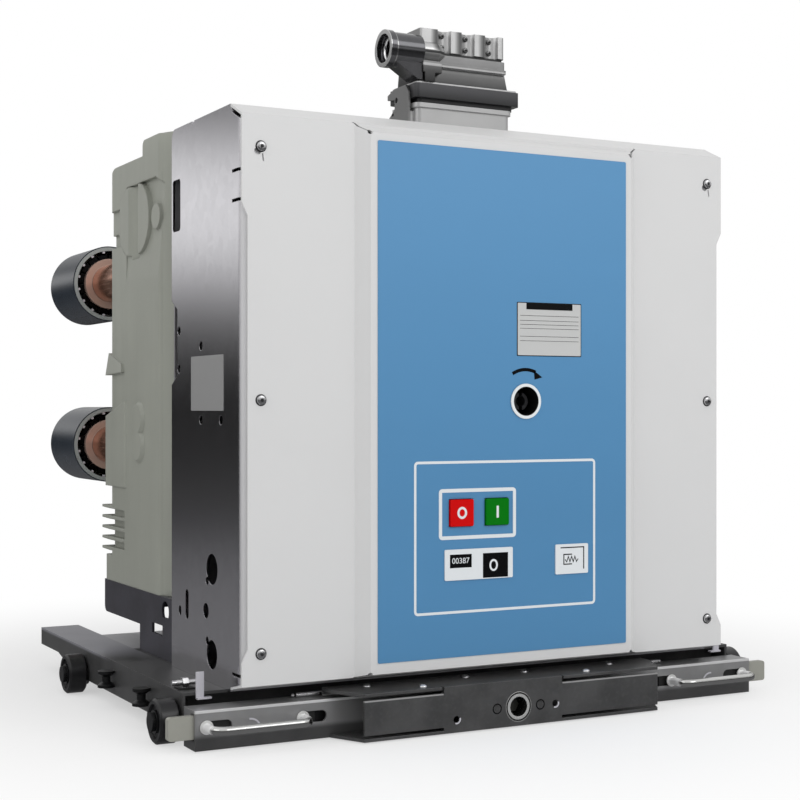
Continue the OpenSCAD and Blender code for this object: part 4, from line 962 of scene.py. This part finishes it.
class BREAKER_OT_indicator_marks(bpy.types.Operator):
    """Counter figures, the flag's ring, and the spring sign on the square plate"""
    bl_idname = "breaker.indicator_marks"
    bl_label = "Indicator marks"

    def execute(self, context):
        digit_h = context.scene.breaker_trim.digit_h
        low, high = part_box("indicator_windows")
        counter = digits("00387", digit_h, (low.x + 12.5 * MM, high.z - 6.6 * MM), low.y - 0.05 * MM)
        counter.materials.clear()
        counter.materials.append(FINISHES["trim_white"])
        figures = put_in_scene("counter_figures", counter)
        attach(figures, "breaker")

        flag = Shell()
        ring(flag, (high.x - 16.8 * MM, high.z - 12.3 * MM), (3.9 * MM, 5 * MM), 2 * MM, skin(low.y))
        flag.piece("flag_ring", "trim_white")

        sign = Shell()
        y = skin(BEZEL[0].y)
        corner = row(BEZEL[1].x, BEZEL[1].z)
        sign.ribbon(corner + pairs(-34, -3.5, -5.5, -3.5, -5.5, -26) * MM, 1.1 * MM, y)
        sign.ribbon(corner + pairs(-20, -10.5, -30, -10.5, -30, -20.5, -20, -20.5) * MM, 1.1 * MM, y)
        steps = np.arange(9)
        zigzag = np.stack([-28.5 + steps * 2.0, np.where(steps % 2, -18.2, -12.8)], axis=1)
        zigzag[0, 1] = zigzag[-1, 1] = -15.5
        sign.ribbon(corner + zigzag * MM, 0.8 * MM, y)
        sign.piece("spring_sign", "window_black")
        return {"FINISHED"}


# ---- Truck ----

class BREAKER_OT_box_rivets(bpy.types.Operator):
    """Rivets on the drive box, pins beside the racking socket and folded tongues of small holes"""
    bl_idname = "breaker.box_rivets"
    bl_label = "Drive box rivets"

    def execute(self, context):
        size = context.scene.breaker_trim
        low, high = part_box("drive_box")
        socket_z = middle("socket_sleeve").z
        dome = pairs(0, -0.1, 1, -0.1, 1, 0.05, 0.85, 0.3, 0.5, 0.5, 0, 0.56)
        rivets = Shell()
        for x, y in ((-149, 6.7), (-102, -21), (-38.5, 6.5), (30.6, 6), (89, -20.5), (136, 5.7)):
            rivets.turned(dome * size.rivet_r, (x * MM, COVER_Y + y * MM, high.z), (0, 0, 1), 24)
        rivets.piece("box_rivets", "bright_steel", "crossbar")

        pins = Shell()
        # a flat dark ring round each pin: painted shade
        shade_ring = pairs(0, -0.1, 1.06, -0.1, 1.06, 0.02, 0, 0.02)
        for x in (-25 * MM, 25.5 * MM):
            pins.turned(shade_ring * size.pin_r, (x, low.y, socket_z), FRONT, 28, 1)
            pins.turned(dome * row(0.86, 0.14) * size.pin_r, (x, low.y, socket_z), FRONT, 28)
        pins.piece("box_pins", "truck_steel", "crossbar", finishes=("pin_steel", "window_black"))

        folds = Shell()
        y = (low.y - 0.3 * MM, low.y + 1 * MM)
        for hole in ((-71 * MM, 14.2 * MM), (43.4 * MM, 20 * MM)):
            folds.ribbon(arc(hole, 3.9 * MM, -115, 20, 12), 1.3 * MM, y)
        folds.piece("box_folds", "bright_steel", "crossbar", finishes=("angle_zinc",))
        return {"FINISHED"}


class BREAKER_OT_truck_fasteners(bpy.types.Operator):
    """Rail studs and angles, crossbar stops, tabs and painted shade sheets, handle collars"""
    bl_idname = "breaker.truck_fasteners"
    bl_label = "Truck fasteners"

    def execute(self, context):
        self.rail_pieces(context.scene.breaker_trim.bolt_af * 0.7)
        low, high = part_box("crossbar")
        self.bar_pieces(low, high)
        for side in SIDES:
            self.collars(side, low.y - 0.4 * MM)
        self.slot_shades(low.z + 3.2 * MM, high.z - 3.2 * MM)
        return {"FINISHED"}

    @staticmethod
    def rail_pieces(flats):
        """A stud with its nut on each rail, and a zinc angle at the rail's front end."""
        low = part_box("rail_right")[0]
        studs = Shell()
        start = row(low.x + 24 * MM, COVER_Y + 66 * MM, DECK_Z + 5.5 * MM)
        studs.box(start + row(3, -9, -5.5) * MM, start + row(19, 9, -4.3) * MM, 1 * MM, 1)
        studs.bar(circle(2.6 * MM, 16), start, start + row(24 * MM, 0, 0))
        seat, thickness = start + row(8 * MM, 0, 0), 6 * MM
        studs.bar(circle(flats / math.sqrt(3), 6), seat, seat + row(thickness, 0, 0))
        end = pairs(0, 0, 0.31, 0, 0.31, 0.5, 0.27, 0.56, 0, 0.56) * flats + row(0, thickness)
        studs.turned(end, seat, (1, 0, 0), 20)
        studs.with_mirror().piece("rail_studs", "bright_steel",
                                  finishes=("bright_steel", "dark_steel"))

        angles = Shell()
        edge = row(312 * MM, low.y, DECK_Z)
        angles.box(edge + row(-8, -2.4, -5) * MM, edge + row(0, -0.2, 19) * MM, 0.5 * MM)
        angles.box(edge + row(-14.5, -6, -6.5) * MM, edge + row(0, -0.2, -4.8) * MM, 0.8 * MM)
        angles.with_mirror().piece("rail_angles", "tongue_zinc", finishes=("angle_zinc",))

    @staticmethod
    def bar_pieces(low, high):
        """Bright stops on the crossbar, and curved tabs on its face."""
        stops = Shell()
        rod = row(184 * MM, COVER_Y + 27 * MM, high.z + 2.2 * MM)
        stops.bar(circle(2.3 * MM, 20), rod, rod + row(31.5 * MM, 0, 0))
        ball = 2.1 * MM * on_circle(np.linspace(-TURN / 4, TURN / 4, 9))
        stops.turned(ball, rod + row(34.5 * MM, 0, 0), (1, 0, 0), 20)
        stops.with_mirror().piece("crossbar_stops", "chrome_grip", "crossbar")

        tabs = Shell()
        curve = arc((271.5 * MM, 16.5 * MM), 10.5 * MM, 165, 85, 10)
        tabs.ribbon(curve, 1.6 * MM, (low.y - 0.5 * MM, low.y + 0.4 * MM))
        tabs.with_mirror().piece("crossbar_tabs", "bright_steel", "crossbar",
                                 finishes=("angle_zinc",))

    @staticmethod
    def collars(side, y):
        """Bright collars at the feet of a handle's two stems."""
        low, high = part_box("handle_" + side)
        shell = Shell()
        profile = pairs(3.6, 0, 6.2, 0, 6.6, 0.4, 6.6, 1.0, 3.6, 1.4) * MM
        for x in (low.x + 4 * MM, high.x - 4 * MM):
            shell.turned(profile, (x, y, (low.z + high.z) / 2), FRONT, 28)
        shell.piece("handle_collars_" + side, "chrome_grip", "handle_" + side,
                    finishes=("grip_collar",))

    @staticmethod
    def slot_shades(foot, head):
        """Dark sheets behind the tongues: painted shade inside the crossbar's slots."""
        low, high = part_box("tongue_right")
        shell = Shell()
        # dark sheet: painted shade behind each tongue
        shell.box((low.x - 26 * MM, high.y + 0.5 * MM, foot),
                  (low.x + 12 * MM, high.y + 1.5 * MM, head), 0.2 * MM)
        shell.with_mirror().piece("tongue_slot_shades", "truck_steel", "crossbar",
                                  finishes=("dark_steel",))


class BREAKER_OT_hood_screws(bpy.types.Operator):
    """Screws in the hollows of the plug's hood, and the seal in its gland"""
    bl_idname = "breaker.hood_screws"
    bl_label = "Hood screws"

    def execute(self, context):
        low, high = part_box("plug_hood")
        shell = Shell()
        for hollow in (1, 2, 3):
            for drop in (5 * MM, 17 * MM):
                place = (low.x + hollow * RIB_PITCH, low.y + 13.2 * MM, high.z - drop)
                pan_head(shell, place, 2.9 * MM)
        shell.piece("hood_screws", "dark_steel", finishes=("pin_steel", "window_black"))

        low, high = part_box("cable_gland")
        seal = Shell()
        lip = (row(12.6, 9) + 2.3 * on_circle(np.arange(17) * TURN / 16)) * MM
        seal.turned(lip, (low.x, COVER_Y + 92 * MM, high.z - 19.5 * MM), (1, 0, 0), 40)
        seal.piece("gland_seal", "gland_metal", finishes=("chrome_grip",))
        return {"FINISHED"}


# ---- Contacts ----

class BREAKER_OT_shield_tabs(bpy.types.Operator):
    """Small bright tabs round the mouth of each shield, where it meets the arm's flange"""
    bl_idname = "breaker.shield_tabs"
    bl_label = "Shield tabs"

    def execute(self, context):
        count = 16
        outline = round_rect(3.2 * MM, 3.0 * MM, 0.9 * MM, 4)
        for pole in POLES:
            radius, mouths = contact_mouths("tulips_" + pole)
            shell = Shell()
            for mouth in mouths:
                for across, up in on_circle((np.arange(count) + 0.5) * TURN / count):
                    out = row(across, 0, up)
                    foot = mouth + row(0, 0.6 * MM, 0) + out * (radius - 7.3 * MM)
                    shell.sweep(outline, [foot, foot + row(0, 2.2 * MM, 0)], row(-up, 0, across), out)
            shell.piece("shield_tabs_" + pole, "bright_steel", finishes=("angle_zinc",))
        return {"FINISHED"}


class BREAKER_OT_garter_springs(bpy.types.Operator):
    """Coil springs that hold the contact fingers together: place = R out + r (cos nt out + sin nt y)"""
    bl_idname = "breaker.garter_springs"
    bl_label = "Garter springs"

    def execute(self, context):
        coils, around = 64, 6
        wire = circle(0.6 * MM, 5)
        turn = np.arange(coils * around) * TURN / (coils * around)
        out = with_y(on_circle(turn), 0)
        wind = on_circle(turn * coils)
        lift = wind[:, :1] * out + wind[:, 1:] * row(0, 1, 0)
        ring_r, coil_r = 33.2 * MM, 2.9 * MM
        coil = ring_r * out + coil_r * lift
        tangent = np.roll(coil, -1, axis=0) - np.roll(coil, 1, axis=0)
        side = np.cross(unit(tangent), lift)
        for pole in POLES:
            shell = Shell()
            for mouth in contact_mouths("tulips_" + pole)[1]:
                for depth in (30 * MM, 92 * MM):
                    shell.sweep(wire, mouth + row(0, depth, 0) + coil, lift, side, closed=True)
            shell.piece("garter_springs_" + pole, "bright_steel")
        return {"FINISHED"}


# ---- Stage ----

# Heights of the reflected screen in metres, each with its tone
HORIZON_TONES = (
    (0.0, 0.06), (0.15, 0.035), (0.34, 0.02), (0.42, 0.04), (0.5, 0.08), (0.55, 0.13), (0.6, 0.21),
    (0.65, 0.33), (0.7, 0.48), (0.75, 0.66), (0.8, 0.82), (0.86, 0.93), (0.93, 0.98), (1.0, 0.94),
    (1.065, 0.84), (1.115, 0.67), (1.165, 0.5), (1.215, 0.34), (1.265, 0.16), (1.4, 0.3), (1.7, 1.0))


class BREAKER_OT_stage(bpy.types.Operator):
    """Pale floor, toned screen, soft lights, white surroundings and the camera"""
    bl_idname = "breaker.stage"
    bl_label = "Stage"

    def execute(self, context):
        stage = context.scene.breaker_stage
        scene = context.scene
        scene.view_settings.view_transform = "Standard"
        self.floor()
        self.world(stage.ambient)
        self.horizon()
        self.lamp("key_light", (1.2, -3.0, 2.0), (0.0, -0.2, 0.3), 2.2, stage.key)
        self.lamp("fill_light", (-2.8, -1.0, 1.6), (0.0, 0.0, 0.3), 2.0, stage.fill)
        data = bpy.data.cameras.new("camera")
        data.lens, data.sensor_width, data.shift_y = stage.lens, 36.0, stage.rise
        data.dof.use_dof = False
        camera = put_in_scene("camera", data)
        camera.location = stage.eye
        camera.rotation_euler = (math.pi / 2, 0.0, stage.heading)
        scene.camera = camera
        return {"FINISHED"}

    @staticmethod
    def backdrop(f, points, faces, shader):
        """A piece of the stage with its material."""
        f.node("OutputMaterial", {}, {"Surface": shader})
        mesh = bpy.data.meshes.new(f.name)
        mesh.from_pydata(points, [], faces)
        mesh.materials.append(f.material)
        put_in_scene(f.name, mesh)

    def floor(self):
        """A pale floor that fades into white, and is dim in reflections."""
        half = 12.0
        corners = [(-half, -half, 0), (half, -half, 0), (half, half, 0), (-half, half, 0)]
        f = Finish("floor")
        across, along = f.axis("X"), f.axis("Y")
        away = (across * across + along * along) ** 0.5
        matt = f.node("BsdfDiffuse", {}, {"Color": grey(0.9)})
        dim = f.join(away.ramp(0.4, 3.4), f.glow((0.19, 0.19, 0.195)), f.glow((0.05, 0.05, 0.052)))
        fade = f.light_path("Is Camera Ray") * (0.5 + 0.5 * away.ramp(0.3, 0.9))
        pale = f.join(fade, matt, f.glow(grey(1.0)))
        self.backdrop(f, corners, [(0, 1, 2, 3)], f.join(f.light_path("Is Glossy Ray"), pale, dim))

    def horizon(self):
        """A toned screen round the stage, seen only in reflections, with one bright band."""
        top, radius, steps = HORIZON_TONES[-1][0], 3.2, 65
        edge = radius * on_circle(np.linspace(0, TURN, steps))
        points = np.concatenate([np.c_[edge, np.full(steps, z)] for z in (0.0, top)])
        f = Finish("horizon")
        tone = f.tones(f.axis("Z") / top, [(z / top, tone) for z, tone in HORIZON_TONES])
        clear = f.node("BsdfTransparent", {}, {"Color": grey(1.0)})
        screen = f.join(f.light_path("Is Glossy Ray"), clear, f.glow(tone))
        inward = grid_faces(2, steps, False, False)[:, ::-1]
        self.backdrop(f, points.tolist(), inward.tolist(), screen)

    @staticmethod
    def world(ambient):
        """Even light, and white where the camera or a reflection sees it."""
        world = bpy.data.worlds.new("surroundings")
        bpy.context.scene.world = world
        f = Finish("surroundings", world)
        shown = f.light_path("Is Camera Ray").math("MAXIMUM", f.light_path("Is Glossy Ray"))
        dim, bright = (f.node("Background", {}, {"Color": grey(1.0), "Strength": strength})
                       for strength in (ambient, 1.0))
        f.node("OutputWorld", {}, {"Surface": f.join(shown, dim, bright)})

    @staticmethod
    def lamp(name, place, target, size, power):
        data = bpy.data.lights.new(name, "AREA")
        data.shape = "SQUARE"
        data.size = size
        data.energy = power
        lamp = put_in_scene(name, data)
        lamp.location = place
        aim = Vector(target) - Vector(place)
        lamp.rotation_euler = aim.to_track_quat("-Z", "Y").to_euler()


OPERATORS = (
    BREAKER_OT_finishes, BREAKER_OT_cover_screws, BREAKER_OT_panel_lines, BREAKER_OT_plates,
    BREAKER_OT_button_marks, BREAKER_OT_indicator_marks, BREAKER_OT_box_rivets,
    BREAKER_OT_truck_fasteners, BREAKER_OT_hood_screws, BREAKER_OT_shield_tabs,
    BREAKER_OT_garter_springs, BREAKER_OT_stage,
)


class BREAKER_PT_panel(bpy.types.Panel):
    """Lists the settings and the pieces"""
    bl_label = "Breaker"
    bl_idname = "BREAKER_PT_panel"
    bl_space_type = "VIEW_3D"
    bl_region_type = "UI"
    bl_category = "Breaker"

    def draw(self, context):
        for group in ("breaker_finish", "breaker_trim", "breaker_stage"):
            settings = getattr(context.scene, group)
            for name in settings.bl_rna.properties.keys():
                if name not in ("rna_type", "name"):
                    self.layout.prop(settings, name)
        for operator in OPERATORS:
            self.layout.operator(operator.bl_idname)


GROUPS = {"breaker_finish": FinishSettings, "breaker_trim": TrimSettings,
          "breaker_stage": StageSettings}


def register():
    """Registers the settings, the operators and the panel."""
    for name, group in GROUPS.items():
        bpy.utils.register_class(group)
        setattr(bpy.types.Scene, name, bpy.props.PointerProperty(type=group))
    for kind in OPERATORS + (BREAKER_PT_panel,):
        bpy.utils.register_class(kind)


def unregister():
    """Takes them away again, in reverse."""
    for kind in (BREAKER_PT_panel,) + OPERATORS[::-1]:
        bpy.utils.unregister_class(kind)
    for name, group in GROUPS.items():
        delattr(bpy.types.Scene, name)
        bpy.utils.unregister_class(group)


def main():
    """Makes every piece in order."""
    register()
    for operator in OPERATORS:
        getattr(bpy.ops.breaker, operator.bl_idname.removeprefix("breaker."))()


if __name__ == "__main__":
    main()
